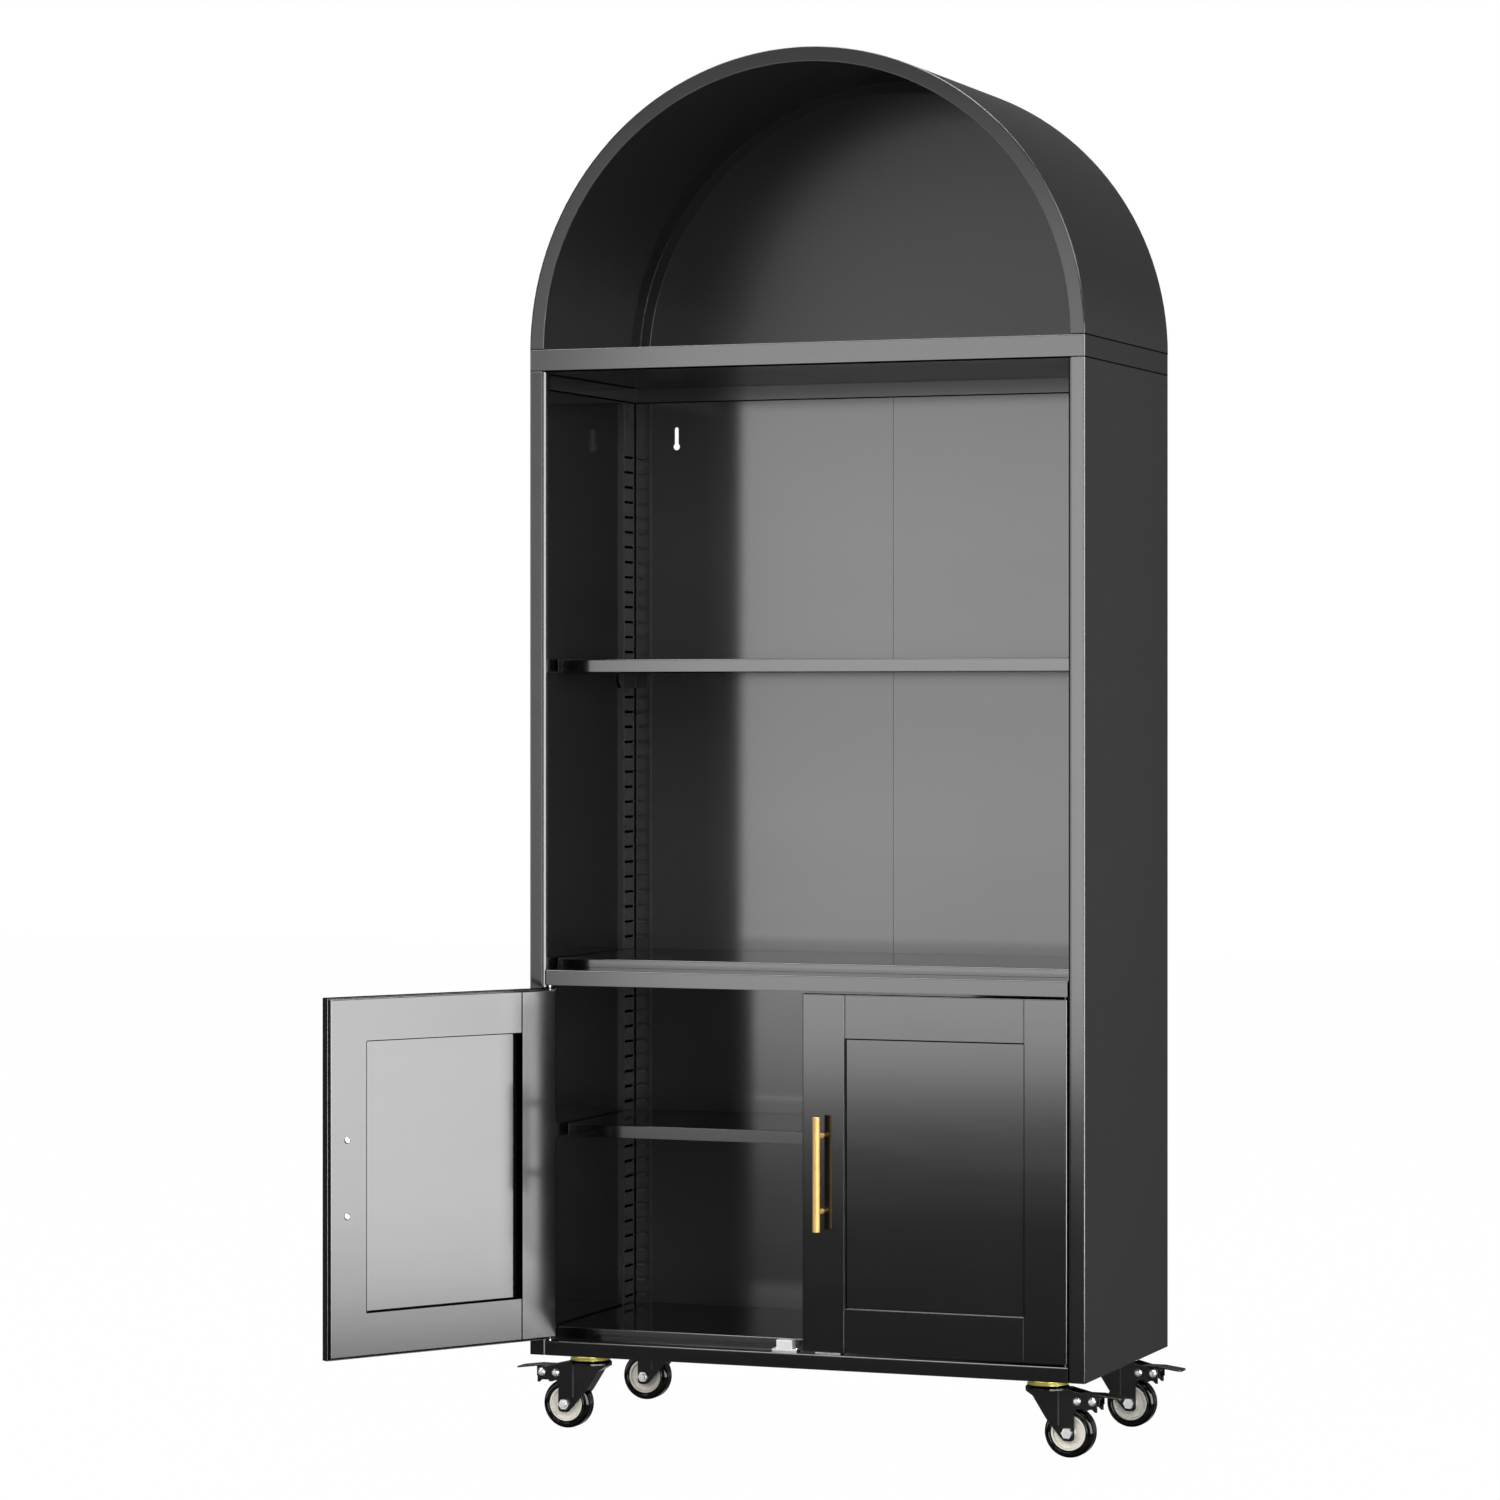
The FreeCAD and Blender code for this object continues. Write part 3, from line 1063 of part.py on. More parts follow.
for name, sign_x, sign_y, turn in SPOTS:
    def put(thing, z="0"):
        return place(thing, x=sign_x + "kingpin_x", y=sign_y + "kingpin_y", z=z, turn=turn)

    bolt_spots = [(a + "bolt_x", b + "bolt_y") for a in ("-", "") for b in ("-", "")]
    plate = new_body("plate_" + name)
    add(plate, "XY_Plane", box("-plate_length / 2", "plate_length / 2",
                               "-plate_width / 2", "plate_width / 2"),
        "0", "plate_height")
    soften(plate, "plate_round", *[along("z", x=a + "plate_length / 2", y=b + "plate_width / 2")
                                   for a in ("-", "") for b in ("-", "")])
    bore(plate, "XY_Plane", bolt_spots, "bolt_radius + running_gap",
         "-overrun", "plate_height + 2 * overrun")
    bore(plate, "XY_Plane", [("0", "0")], "kingpin_radius + running_gap",
         "-overrun", "plate_height + 2 * overrun")
    plates.append(put(plate, "plate_level"))

    race = new_body("race_" + name)
    spin(race, "XZ_Plane", box("kingpin_radius + running_gap", "race_radius", "0", "race_height"), "Z_Axis")
    soften(race, "race_round", ring_at("z", "0", "race_radius"), ring_at("z", "race_height", "race_radius"))
    races.append(put(race, "race_level"))

    kingpin = new_body("kingpin_" + name)
    boss(kingpin, "XY_Plane", [("0", "0")], "kingpin_radius",
         "crown_underside - seat_gap - kingpin_head_height",
         "channel_level - crown_underside + seat_gap + kingpin_head_height")
    boss(kingpin, "XY_Plane", [("0", "0")], "kingpin_head_radius",
         "crown_underside - seat_gap - kingpin_head_height", "kingpin_head_height")
    kingpins.append(put(kingpin))

    for i, (a, b) in enumerate(bolt_spots):
        bolt = new_body("bolt_%s_%d" % (name, i))
        add(bolt, "XY_Plane", hexagon(a, b, "bolt_flat_radius"), "-bolt_head_height", "bolt_head_height")
        boss(bolt, "XY_Plane", [(a, b)], "bolt_radius", "-bolt_head_height",
             "bolt_head_height + plate_height + channel_skin + thread_reach")
        bolts.append(put(bolt, "plate_level"))

    fork = put(make_fork("caster_%s_fork" % name))
    axle = put(make_axle("axle_" + name))
    near = put(make_rivet("rivet_near_" + name, "rivet_near"))
    far = put(make_rivet("rivet_far_" + name, "rivet_far"))
    pins = group("caster_%s_pins" % name, [axle, near, far])
    brake = put(make_brake("caster_%s_brake" % name))

    tyre = new_body("caster_%s_tyre" % name)
    spin(tyre, "YZ_Plane", box("-tyre_width / 2", "tyre_width / 2", "centre_radius", "wheel_radius"),
         "Y_Axis")
    soften(tyre, "tyre_shoulder", ring_at("y", "-tyre_width / 2", "wheel_radius"),
           ring_at("y", "tyre_width / 2", "wheel_radius"))
    centre = new_body("caster_%s_wheel" % name)
    hub_half = "fork_gap / 2 - 2 * seat_gap"
    web = "tyre_width / 2 - centre_dish"
    spin(centre, "YZ_Plane", [
        ("-(%s)" % hub_half, "axle_radius + running_gap"), (hub_half, "axle_radius + running_gap"),
        (hub_half, "centre_hub_radius"), (web, "centre_hub_radius + bend"),
        (web, "centre_radius - centre_dish - bend"), ("tyre_width / 2", "centre_radius - centre_dish"),
        ("tyre_width / 2", "centre_radius"), ("-tyre_width / 2", "centre_radius"),
        ("-tyre_width / 2", "centre_radius - centre_dish"), ("-(%s)" % web, "centre_radius - centre_dish - bend"),
        ("-(%s)" % web, "centre_hub_radius + bend"), ("-(%s)" % hub_half, "centre_hub_radius"),
    ], "Y_Axis")
    for thing in (tyre, centre):
        place(thing, x="%s(kingpin_x + trail)" % sign_x, y=sign_y + "kingpin_y", z="wheel_radius")
    keep(fork, pins, brake, tyre, centre)
keep(group("caster_plates", plates), group("caster_races", races),
     group("caster_kingpins", kingpins), group("caster_bolts", bolts))

doc.recompute()
bad = [item.Label for item in doc.Objects if "Invalid" in item.State or "Error" in item.State]
if bad:
    raise ValueError("objects with an error: " + ", ".join(bad))
for piece in pieces:
    if piece.Shape.isNull() or not piece.Shape.isValid():
        raise ValueError("bad shape " + piece.Label)
for piece in pieces:
    piece.Shape.exportStep("parts/%s.step" % piece.Label)
    extent = piece.Shape.BoundBox
    print("%-26s %2d solids  x %8.2f %8.2f  y %8.2f %8.2f  z %8.2f %8.2f" % (
        piece.Label, len(piece.Shape.Solids), extent.XMin, extent.XMax, extent.YMin, extent.YMax,
        extent.ZMin, extent.ZMax))
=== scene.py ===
# %% [markdown]
# # An arched bookcase of black enamelled sheet
# The measured frame of the bookcase comes in ready made: folded walls, trays, shelves, doors and
# casters. This lesson dresses it. It gives every sheet a lively enamel, turns the wheels and
# their swivel races again with the lips and lines that the frame leaves out, and sets up a small
# studio whose soft boxes draw the long gradients that make black gloss readable. All lengths are
# in metres.

# %% Load the frame
import json
import math
import bmesh
import bpy
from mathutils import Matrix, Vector


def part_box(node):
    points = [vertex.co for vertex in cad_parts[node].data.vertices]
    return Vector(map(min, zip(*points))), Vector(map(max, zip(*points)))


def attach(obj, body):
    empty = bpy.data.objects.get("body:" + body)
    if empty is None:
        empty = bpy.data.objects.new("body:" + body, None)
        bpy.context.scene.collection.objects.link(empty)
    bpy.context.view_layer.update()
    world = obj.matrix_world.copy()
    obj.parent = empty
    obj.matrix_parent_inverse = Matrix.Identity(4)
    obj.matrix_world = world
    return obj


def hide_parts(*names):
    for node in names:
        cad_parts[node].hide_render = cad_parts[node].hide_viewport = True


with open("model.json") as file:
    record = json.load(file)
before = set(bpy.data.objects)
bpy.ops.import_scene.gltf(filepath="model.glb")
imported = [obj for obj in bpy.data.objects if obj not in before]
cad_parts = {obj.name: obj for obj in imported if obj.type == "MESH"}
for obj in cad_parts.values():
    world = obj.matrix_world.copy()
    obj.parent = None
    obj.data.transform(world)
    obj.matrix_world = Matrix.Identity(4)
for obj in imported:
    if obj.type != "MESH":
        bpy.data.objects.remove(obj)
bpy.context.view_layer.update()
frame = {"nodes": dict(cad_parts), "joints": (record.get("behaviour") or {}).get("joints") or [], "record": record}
nodes = frame["nodes"]

# %% [markdown]
# ## Camera
# The picture was taken from the front right, level, at about chest height and from far off, so
# that uprights stay upright. A wide lens close by would make the casters flare out. A long lens
# from six and a half metres gives the right perspective, and a small vertical shift keeps the
# camera level while the bookcase sits a little low in the frame.

# %% Camera
PICTURE_PX = 1500
FOCAL_PX = 4736.0
MIDDLE_ROW_PX = 703.8
SENSOR = 36.0
CAMERA_SPOT = (2.239, -6.192, 1.0046)
CAMERA_TURN = math.radians(21.1)
LEVEL = math.radians(90)
CAMERA_REACH = 60
camera_data = bpy.data.cameras.new("camera")
camera_data.sensor_width = SENSOR
camera_data.lens = FOCAL_PX / PICTURE_PX * SENSOR
camera_data.shift_y = (MIDDLE_ROW_PX - PICTURE_PX / 2) / PICTURE_PX
camera_data.clip_end = CAMERA_REACH
camera = bpy.data.objects.new("camera", camera_data)
camera.location = CAMERA_SPOT
camera.rotation_euler = (LEVEL, 0, CAMERA_TURN)
bpy.context.scene.collection.objects.link(camera)
bpy.context.scene.camera = camera
print("lens: %.1f mm" % camera_data.lens)

# %% [markdown]
# ## Shader maths as plain expressions
# A material is a little sum: a mask times a shade, plus a bit of noise. Blender draws such sums
# as boxes and wires, which are slow to read. Here one small class holds a wire, and Python's own
# operators add the Math nodes, so that a recipe reads like the sum that it is.

# %% A wire that can be added, multiplied and subtracted
class Wire:
    def __init__(self, recipe, socket):
        self.recipe = recipe
        self.socket = socket

    def _math(self, operation, first, second):
        settings = {"operation": operation}
        return self.recipe.node("ShaderNodeMath", settings, {0: first, 1: second})

    def __add__(self, other):
        return self._math("ADD", self, other)

    def __radd__(self, other):
        return self._math("ADD", other, self)

    def __sub__(self, other):
        return self._math("SUBTRACT", self, other)

    def __rsub__(self, other):
        return self._math("SUBTRACT", other, self)

    def __mul__(self, other):
        return self._math("MULTIPLY", self, other)

    def __rmul__(self, other):
        return self._math("MULTIPLY", other, self)

    def __truediv__(self, other):
        return self._math("DIVIDE", self, other)

    def clamp(self, low=0.0, high=1.0):
        return self._math("MAXIMUM", self._math("MINIMUM", self, high), low)

    def ramp(self, *stops):
        """Read a value off a ramp of (position, grey) stops."""
        return self.recipe.node("ShaderNodeValToRGB", {"stops": stops}, {"Fac": self})


print("wire ready")

# %% [markdown]
# ## One method for every other node
# Noise, ramps, bevels and shaders each need the same three things: a type, its settings, and what
# goes into its sockets. A Recipe is the list of nodes of one material. Its `node` method takes
# all three, and the few helpers under it only give the usual nodes shorter names.

# %% Recipe
LINE_SOFTNESS = 0.0003
EDGE_GAIN = 6.0
BEVEL_SAMPLES = 6
# Which of a Mix node's many sockets take the two colours and give the mixed one.
FIRST_COLOUR = 6
SECOND_COLOUR = 7
MIXED_COLOUR = 2


class Recipe:
    def __init__(self, tree):
        self.tree = tree
        self.tree.nodes.clear()

    def node(self, kind, settings=None, inputs=None, out=0):
        made = self.tree.nodes.new(kind)
        for name, setting in (settings or {}).items():
            if name == "stops":
                bar = made.color_ramp.elements
                while len(bar) < len(setting):
                    bar.new(0.5)
                for stop, (place, grey) in zip(bar, setting):
                    stop.position = place
                    stop.color = (grey, grey, grey, 1)
            else:
                setattr(made, name, setting)
        for key, value in (inputs or {}).items():
            if isinstance(value, Wire):
                self.tree.links.new(value.socket, made.inputs[key])
            else:
                made.inputs[key].default_value = value
        return Wire(self, made.outputs[out] if len(made.outputs) else None)

    def mix(self, amount, first, second):
        """Blend two colours by a mask."""
        first = first if isinstance(first, Wire) else (*first, 1)
        second = second if isinstance(second, Wire) else (*second, 1)
        inputs = {0: amount, FIRST_COLOUR: first, SECOND_COLOUR: second}
        return self.node("ShaderNodeMix", {"data_type": "RGBA"}, inputs, out=MIXED_COLOUR)

    def place(self):
        """Where a point is on the bookcase, in metres."""
        return self.node("ShaderNodeTexCoord", out="Object")

    def split(self, point):
        """The three coordinates of a point, as three wires."""
        parts = self.node("ShaderNodeSeparateXYZ", None, {"Vector": point}).socket.node.outputs
        return [Wire(self, part) for part in parts]

    def size(self, value):
        """A value without its sign."""
        return self.node("ShaderNodeMath", {"operation": "ABSOLUTE"}, {0: value})

    def line(self, value, at, half):
        """1 where a coordinate is within half a line's width of a place, and 0 elsewhere."""
        return ((half - self.size(value - at)) / LINE_SOFTNESS + 0.5).clamp()

    def beyond(self, value, at):
        """1 where a coordinate is past a place, and 0 before it."""
        return ((value - at) / LINE_SOFTNESS + 0.5).clamp()

    def stretched(self, scale):
        """Places with each direction scaled by its own amount, for drawn or wiped marks."""
        return self.node("ShaderNodeMapping", None, {"Vector": self.place(), "Scale": scale})

    def noise(self, scale, detail=3.0, rough=0.55, at=None):
        """A cloud between 0 and 1, with scale given in waves to the metre."""
        where = at or self.place()
        inputs = {"Vector": where, "Scale": scale, "Detail": detail, "Roughness": rough}
        return self.node("ShaderNodeTexNoise", None, inputs)

    def flecks(self, scale):
        """Distance to the nearest of many scattered points."""
        return self.node("ShaderNodeTexVoronoi", None, {"Vector": self.place(), "Scale": scale})

    def softened(self, radius):
        """The surface direction, with each sharp edge rolled over a small radius."""
        return self.node("ShaderNodeBevel", {"samples": BEVEL_SAMPLES}, {"Radius": radius})

    def edges(self, radius):
        """1 along edges and 0 on flat sheet: how far the rolled direction leaves the true one."""
        true_way = self.node("ShaderNodeNewGeometry", out="Normal")
        same = self.node("ShaderNodeVectorMath", {"operation": "DOT_PRODUCT"},
                         {0: self.softened(radius), 1: true_way}, out="Value")
        return ((1.0 - same) * EDGE_GAIN).clamp()

    def bump(self, height, strength, distance, normal):
        """The surface direction, wavered by a height."""
        inputs = {"Height": height, "Strength": strength, "Distance": distance, "Normal": normal}
        return self.node("ShaderNodeBump", None, inputs)

    def blend(self, amount, first, second):
        """Blend two shaders by a mask."""
        return self.node("ShaderNodeMixShader", None, {0: amount, 1: first, 2: second})

    def surface(self, painted_shade=None, **sockets):
        """A finished surface. Where painted_shade is 1, a dull black stands in for the shade in a gap, corner or
        slot.
        """
        named = {key.replace("_", " "): value for key, value in sockets.items()}
        shader = self.node("ShaderNodeBsdfPrincipled", None, named)
        if painted_shade is not None:
            # Painted shade: a dull black diffuse shader stands in for the shadow in the gap.
            shade_shader = self.node("ShaderNodeBsdfDiffuse", None, {"Color": PAINTED_SHADE_BLACK})
            shader = self.blend(painted_shade, shader, shade_shader)
        self.node("ShaderNodeOutputMaterial", None, {"Surface": shader})


def new_material(name):
    material = bpy.data.materials.new(name)
    material.use_nodes = True
    return material, Recipe(material.node_tree)


print("recipe ready")

# %% [markdown]
# ## Black enamel
# Sprayed and baked enamel is not one black. It is a little lighter where the coat is thin over a
# fold, it has a fine orange peel that wavers reflections, a few dust nibs, and faint wipe marks
# that only change the gloss. A flat black would do for a far view, but the real sheet lives on
# what it mirrors, so the recipe keeps the colour almost black and puts its detail into gloss and
# bump.

# %% Enamel recipe
BLACK = (0.0040, 0.0040, 0.0044)
SATIN_BLACK = (0.0260, 0.0260, 0.0268)
# Painted light: a lighter black for the backs, which get less light inside the cabinet.
PAINTED_LIGHT_INNER_BLACK = (0.0500, 0.0500, 0.0512)
THIN_COAT = 0.010
# Bare metal at chipped edges, and also the painted highlight along the fork folds.
BARE_EDGE_AND_HIGHLIGHT = (0.085, 0.085, 0.088)
# Painted shade: a dull near-black drawn where gaps, corners and slots lie in shade.
PAINTED_SHADE_BLACK = (0.0006, 0.0006, 0.0006, 1)
CLOUD_SCALE = 3.1
GRAIN_SCALE = 420.0
WIPE_SCALE = 2.2
WIPE_STRETCH = (1.0, 1.0, 6.5)
NIB_SCALE = 95.0
CHIP_SCALE = 140.0
PEEL_FINE = 240.0
PEEL_COARSE = 60.0
PEEL_HEIGHT = 0.00006


def enamel(name, tint=BLACK, gloss=0.095, shine=0.60, roll=0.0005, peel=0.06, wear=0.25,
           painted_shade=None, fold=None):
    """Black enamel. Roll is the radius of its edges in metres, wear how far they are chipped."""
    material, r = new_material(name)
    cloud = r.noise(CLOUD_SCALE, 4.0)
    grain = r.noise(GRAIN_SCALE, 2.0)
    wipes = r.noise(WIPE_SCALE, 3.0, 0.6, r.stretched(WIPE_STRETCH))
    nibs = r.flecks(NIB_SCALE).ramp((0.0, 1.0), (0.035, 0.0))
    edge = r.edges(roll)
    chips = edge * r.noise(CHIP_SCALE, 3.0).ramp((0.50, 0.0), (0.66, 1.0)) * wear
    thin = tuple(level + THIN_COAT for level in tint)
    body = r.mix(cloud.ramp((0.35, 0.0), (0.72, 1.0)) * 0.2, tint, thin)
    body = r.mix((edge * 0.25 + nibs * 0.05).clamp(), body, thin)
    body = r.mix(chips.clamp(), body, BARE_EDGE_AND_HIGHLIGHT)
    # Painted highlight: a light line along a fold, standing in for the light it catches.
    if fold:
        body = r.mix(fold(r), body, BARE_EDGE_AND_HIGHLIGHT)
    rough = gloss + (wipes - 0.5) * 0.03 + (grain - 0.5) * 0.015 + edge * 0.03 + chips * 0.2
    height = r.noise(PEEL_FINE, 1.5) * 0.7 + r.noise(PEEL_COARSE, 2.0) * 0.3 + nibs * 0.4
    skin = r.bump(height, peel, PEEL_HEIGHT, r.softened(roll))
    r.surface(painted_shade(r) if painted_shade else None, Base_Color=body, Roughness=rough.clamp(),
              Specular_IOR_Level=shine, Normal=skin)
    return material


print("enamel blacks:", BLACK[0], SATIN_BLACK[0], PAINTED_LIGHT_INNER_BLACK[0])

# %% [markdown]
# ## Seams between sheets
# Where two folded sheets meet, the gap between them is drawn as painted shade: a thin dull
# black line. The arch stands on the board so, the board on the walls, and the rim under the board
# ends so above the uprights. A line is a mask of one coordinate, and its place is measured off the
# frame, not typed in.

# %% Seams between sheets
SEAM = 0.0008
board_low, board_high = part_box("top_board")
rim_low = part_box("top_rim")[0]


def level_shade_line(r, at):
    """A line of painted shade at one height, all the way round."""
    height = r.split(r.place())[2]
    return r.line(height, at, 2 * SEAM)


# Painted shade in the gaps under the arch, the board and the rim.
def shade_under_arch(r):
    return level_shade_line(r, board_high.z)


def shade_under_board(r):
    return level_shade_line(r, board_low.z)


def shade_under_rim(r):
    return level_shade_line(r, rim_low.z)


print("seams at %.3f, %.3f and %.3f m" % (rim_low.z, board_low.z, board_high.z))

# %% [markdown]
# ## Seams of the doors
# The sunk field of a door is framed by upright and level strips. Painted shade draws dull lines
# in the steps round the field, fainter ones in the grooves on through the rails, and a dark band
# along the top edge. The open door's mesh lies turned on its hinge.
# Its points are first turned back, which puts both doors under one recipe. The closed door's own
# box tells how wide a door is and how far its pivot lies from its edge.

# %% Places on a door
DOOR_SEAM = 0.0011
FOOT_SEAM = 0.0004
FOOT_UP = 0.0011
TOP_SHADE = 0.0006
FAINT_SEAM = 0.45
STRONG_SEAM = 0.9
DOOR_RAIL = 0.060
OPEN_ANGLE = math.radians(-121)
joint_spot = {joint["name"]: joint["pos_m"] for joint in frame["joints"]}
door_low, door_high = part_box("door_right_skin")
pivot_inset = door_high.x - joint_spot["right_door_hinge"][0]
door_width = door_high.x - door_low.x
print("doors %.4f m wide, pivot %.4f m from the edge" % (door_width, pivot_inset))


# %% Seams of the doors
def door_painted_shade(r, point, left, right, faint_left, faint_right, foot_up):
    """Painted shade: lines round the sunk field between two places, fainter ones on through the rails, and the top
    edge.
    """
    across, _, height = r.split(point)
    foot = door_low.z + DOOR_RAIL
    head = door_high.z - DOOR_RAIL
    beside = r.beyond(height, foot) * (1.0 - r.beyond(height, head))
    between = r.beyond(across, left) * (1.0 - r.beyond(across, right))
    left_line = r.line(across, left, DOOR_SEAM) * (faint_left + (1.0 - faint_left) * beside)
    right_line = r.line(across, right, DOOR_SEAM) * (faint_right + (1.0 - faint_right) * beside)
    foot_line = r.line(height, foot + foot_up, FOOT_SEAM) * between
    head_line = r.line(height, head, DOOR_SEAM) * between
    shade_on_top = r.beyond(height, door_high.z - TOP_SHADE)
    return (left_line + right_line + foot_line + head_line + shade_on_top).clamp()


def right_door_painted_shade(r):
    left = door_low.x + DOOR_RAIL + DOOR_SEAM
    right = door_high.x - DOOR_RAIL
    return door_painted_shade(r, r.place(), left, right,
                      faint_left=FAINT_SEAM, faint_right=FAINT_SEAM, foot_up=FOOT_UP)


def left_door_painted_shade(r):
    hinge = tuple(joint_spot["left_door_hinge"][:2]) + (0.0,)
    closed = r.node("ShaderNodeMapping", {"vector_type": "TEXTURE"},
                    {"Vector": r.place(), "Location": hinge, "Rotation": (0.0, 0.0, OPEN_ANGLE)})
    left = DOOR_RAIL - pivot_inset
    right = door_width - pivot_inset - DOOR_RAIL
    return door_painted_shade(r, closed, left, right,
                      faint_left=STRONG_SEAM, faint_right=0.0, foot_up=0.0)


print("door seams: %.1f mm wide" % (2 * DOOR_SEAM * 1000))

# %% [markdown]
# ## Corners, slots and folds
# Three more marks are picked by position. The inside corner of a rear upright gets a line of
# painted shade. The wall behind an upright is painted black as shade, and only shows through the
# slots. Down each leg of a caster fork runs a soft fold, and a painted highlight along it stands
# in for the light it catches.

# %% Corners, slots and folds
CORNER = 0.0028
WALL_SKIN = 0.0005
FOLD_BEHIND_SWIVEL = 0.0195
FOLD_HALF = 0.0009
FOLD_FOOT = 0.044
FOLD_HIGHLIGHT = 0.7
rack_low, rack_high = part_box("rear_upright_left")
fold_place = joint_spot["swivel_front_right"][0] + FOLD_BEHIND_SWIVEL


def shade_in_rack_corners(r):
    """Painted shade in the inside corner of a rear upright, where its two slotted legs are folded."""
    across, deep, _ = r.split(r.place())
    outward = r.beyond(r.size(across), -rack_low.x - CORNER)
    return outward * r.beyond(deep, rack_high.y - CORNER)


def shade_behind_racks(r):
    """Painted shade: the inside of a wall behind a rear upright is drawn black, and only shows through its slots.
    """
    across, deep, _ = r.split(r.place())
    inside = 1.0 - r.beyond(r.size(across), board_high.x - WALL_SKIN)
    return inside * r.beyond(deep, rack_low.y) * (1.0 - r.beyond(deep, rack_high.y))


def fold_highlight_of_legs(r):
    """Painted highlight along the soft fold down each leg of a caster fork."""
    across, _, height = r.split(r.place())
    fold = r.line(r.size(across), fold_place, FOLD_HALF) * r.beyond(height, FOLD_FOOT)
    return fold * FOLD_HIGHLIGHT


print("fork folds %.3f m either side of the middle" % fold_place)

# %% [markdown]
# ## A dose of enamel for each sheet
# The arch is sprayed separately and comes out more satin. The backs and the slotted uprights get a
# lighter black, painted light that makes up for the dimmer light inside the cabinet. The casters
# are dipped in thicker lacquer that leaves soft edges.

# %% Enamels
ARCH_BLACK = (0.0220, 0.0220, 0.0227)
WALL_BLACK = (0.0072, 0.0072, 0.0076)
# Painted light: a lighter black for the uprights, which get less light inside the cabinet.
PAINTED_LIGHT_RACK_BLACK = (0.0180, 0.0180, 0.0185)
CLIP_BLACK = (0.0030, 0.0030, 0.0032)
FORK_BLACK = (0.0030, 0.0030, 0.0033)
paint = {
    "arch_paint": enamel("arch_enamel", ARCH_BLACK, gloss=0.13, shine=0.33, roll=0.0020,
                         painted_shade=shade_under_arch),
    "board_paint": enamel("board_enamel", shine=0.56, roll=0.0018, painted_shade=shade_under_board),
    "side_paint": enamel("side_enamel", WALL_BLACK, roll=0.0018, wear=0.30,
                         painted_shade=shade_behind_racks),
    "back_paint": enamel("back_enamel", PAINTED_LIGHT_INNER_BLACK, gloss=0.12, shine=0.50, peel=0.08, wear=0.15),
    "rack_paint": enamel("rack_enamel", PAINTED_LIGHT_RACK_BLACK, gloss=0.26, shine=0.50, roll=0.0003,
                         peel=0.15, wear=0.30, painted_shade=shade_in_rack_corners),
    "tray_paint": enamel("tray_enamel", wear=0.30),
    "shelf_paint": enamel("shelf_enamel", gloss=0.12, shine=0.66, wear=0.35),
    "clip_metal": enamel("clip_enamel", CLIP_BLACK, gloss=0.20, shine=0.40, roll=0.0003,
                         peel=0.2, wear=0.80),
    "fork_paint": enamel("fork_lacquer", FORK_BLACK, gloss=0.12, shine=0.60, roll=0.0006,
                         peel=0.15, wear=0.60, fold=fold_highlight_of_legs),
}
print("enamels:", len(paint))

# %% [markdown]
# A few sheets need an enamel of their own. The back of the arch, the plate under the board and
# the rim get a lighter black with a duller gloss. The doors are the showpiece, with the deepest
# gloss, and each has its own lines of painted shade.

# %% Enamels for single sheets
sheet_paint = {
    "arch_back_panel": enamel("arch_back_enamel", SATIN_BLACK, gloss=0.30, shine=0.36),
    "top_board_underside": enamel("underside_enamel", SATIN_BLACK, gloss=0.20, shine=0.50),
    "side_panel_left": enamel("left_wall_enamel", WALL_BLACK, shine=0.44, roll=0.0018, wear=0.30,
                              painted_shade=shade_behind_racks),
    "top_rim": enamel("rim_enamel", SATIN_BLACK, gloss=0.20, shine=0.50, painted_shade=shade_under_rim),
    # Painted shade: the right door's pins get a dull black, where the left door's pins keep bright zinc, so they
    # show no glint.
    "door_right_pins": enamel("pin_lacquer", SATIN_BLACK, gloss=0.30, shine=0.40),
}
for hand, painted_shade in (("right", right_door_painted_shade), ("left", left_door_painted_shade)):
    skin = enamel(hand + "_door_enamel", gloss=0.09, roll=0.0008, painted_shade=painted_shade)
    inner = enamel(hand + "_frame_enamel", gloss=0.11, roll=0.0004, painted_shade=painted_shade)
    sheet_paint["door_" + hand + "_skin"] = skin
    sheet_paint["door_" + hand + "_frame"] = inner
print("single sheets:", list(sheet_paint))

# %% [markdown]
# ## Plated metal
# The pulls are brass-plated: warm, with fine marks drawn along the bar. Screws, rivets and axles
# have bright zinc with a slightly cloudy film. The swivel races are zinc with a yellow film,
# which shimmers between straw and green. Under a film the metal scatters some light by itself, so
# these finishes are not fully metallic, and they stay visible where the studio around them is
# dark.

# %% Metal recipe
FILM_SCALE = 60.0
MARK_SCALE = 900.0
MARK_HEIGHT = 0.00004
EVEN_MARKS = (1.0, 1.0, 1.0)
UPRIGHT_MARKS = (1.0, 1.0, 0.04)


def plated(name, shade, second, gloss, streak, metallic, drawn=EVEN_MARKS):
    """Plated metal. Streak is how far its marks change the gloss, drawn the way they run."""
    material, r = new_material(name)
    film = r.noise(FILM_SCALE, 4.0)
    lines = r.noise(MARK_SCALE, 2.0, 0.6, r.stretched(drawn))
    edge = r.edges(0.0006)
    body = r.mix(film.ramp((0.40, 0.0), (0.66, 1.0)), shade, second)
    cover = metallic + (film - 0.5) * 0.1
    rough = gloss + (film - 0.5) * 0.08 + (lines - 0.5) * streak - edge * 0.04
    skin = r.bump(lines, 0.06, MARK_HEIGHT, r.softened(0.0003))
    r.surface(Base_Color=body, Metallic=cover.clamp(), Roughness=rough.clamp(), Normal=skin)
    return material


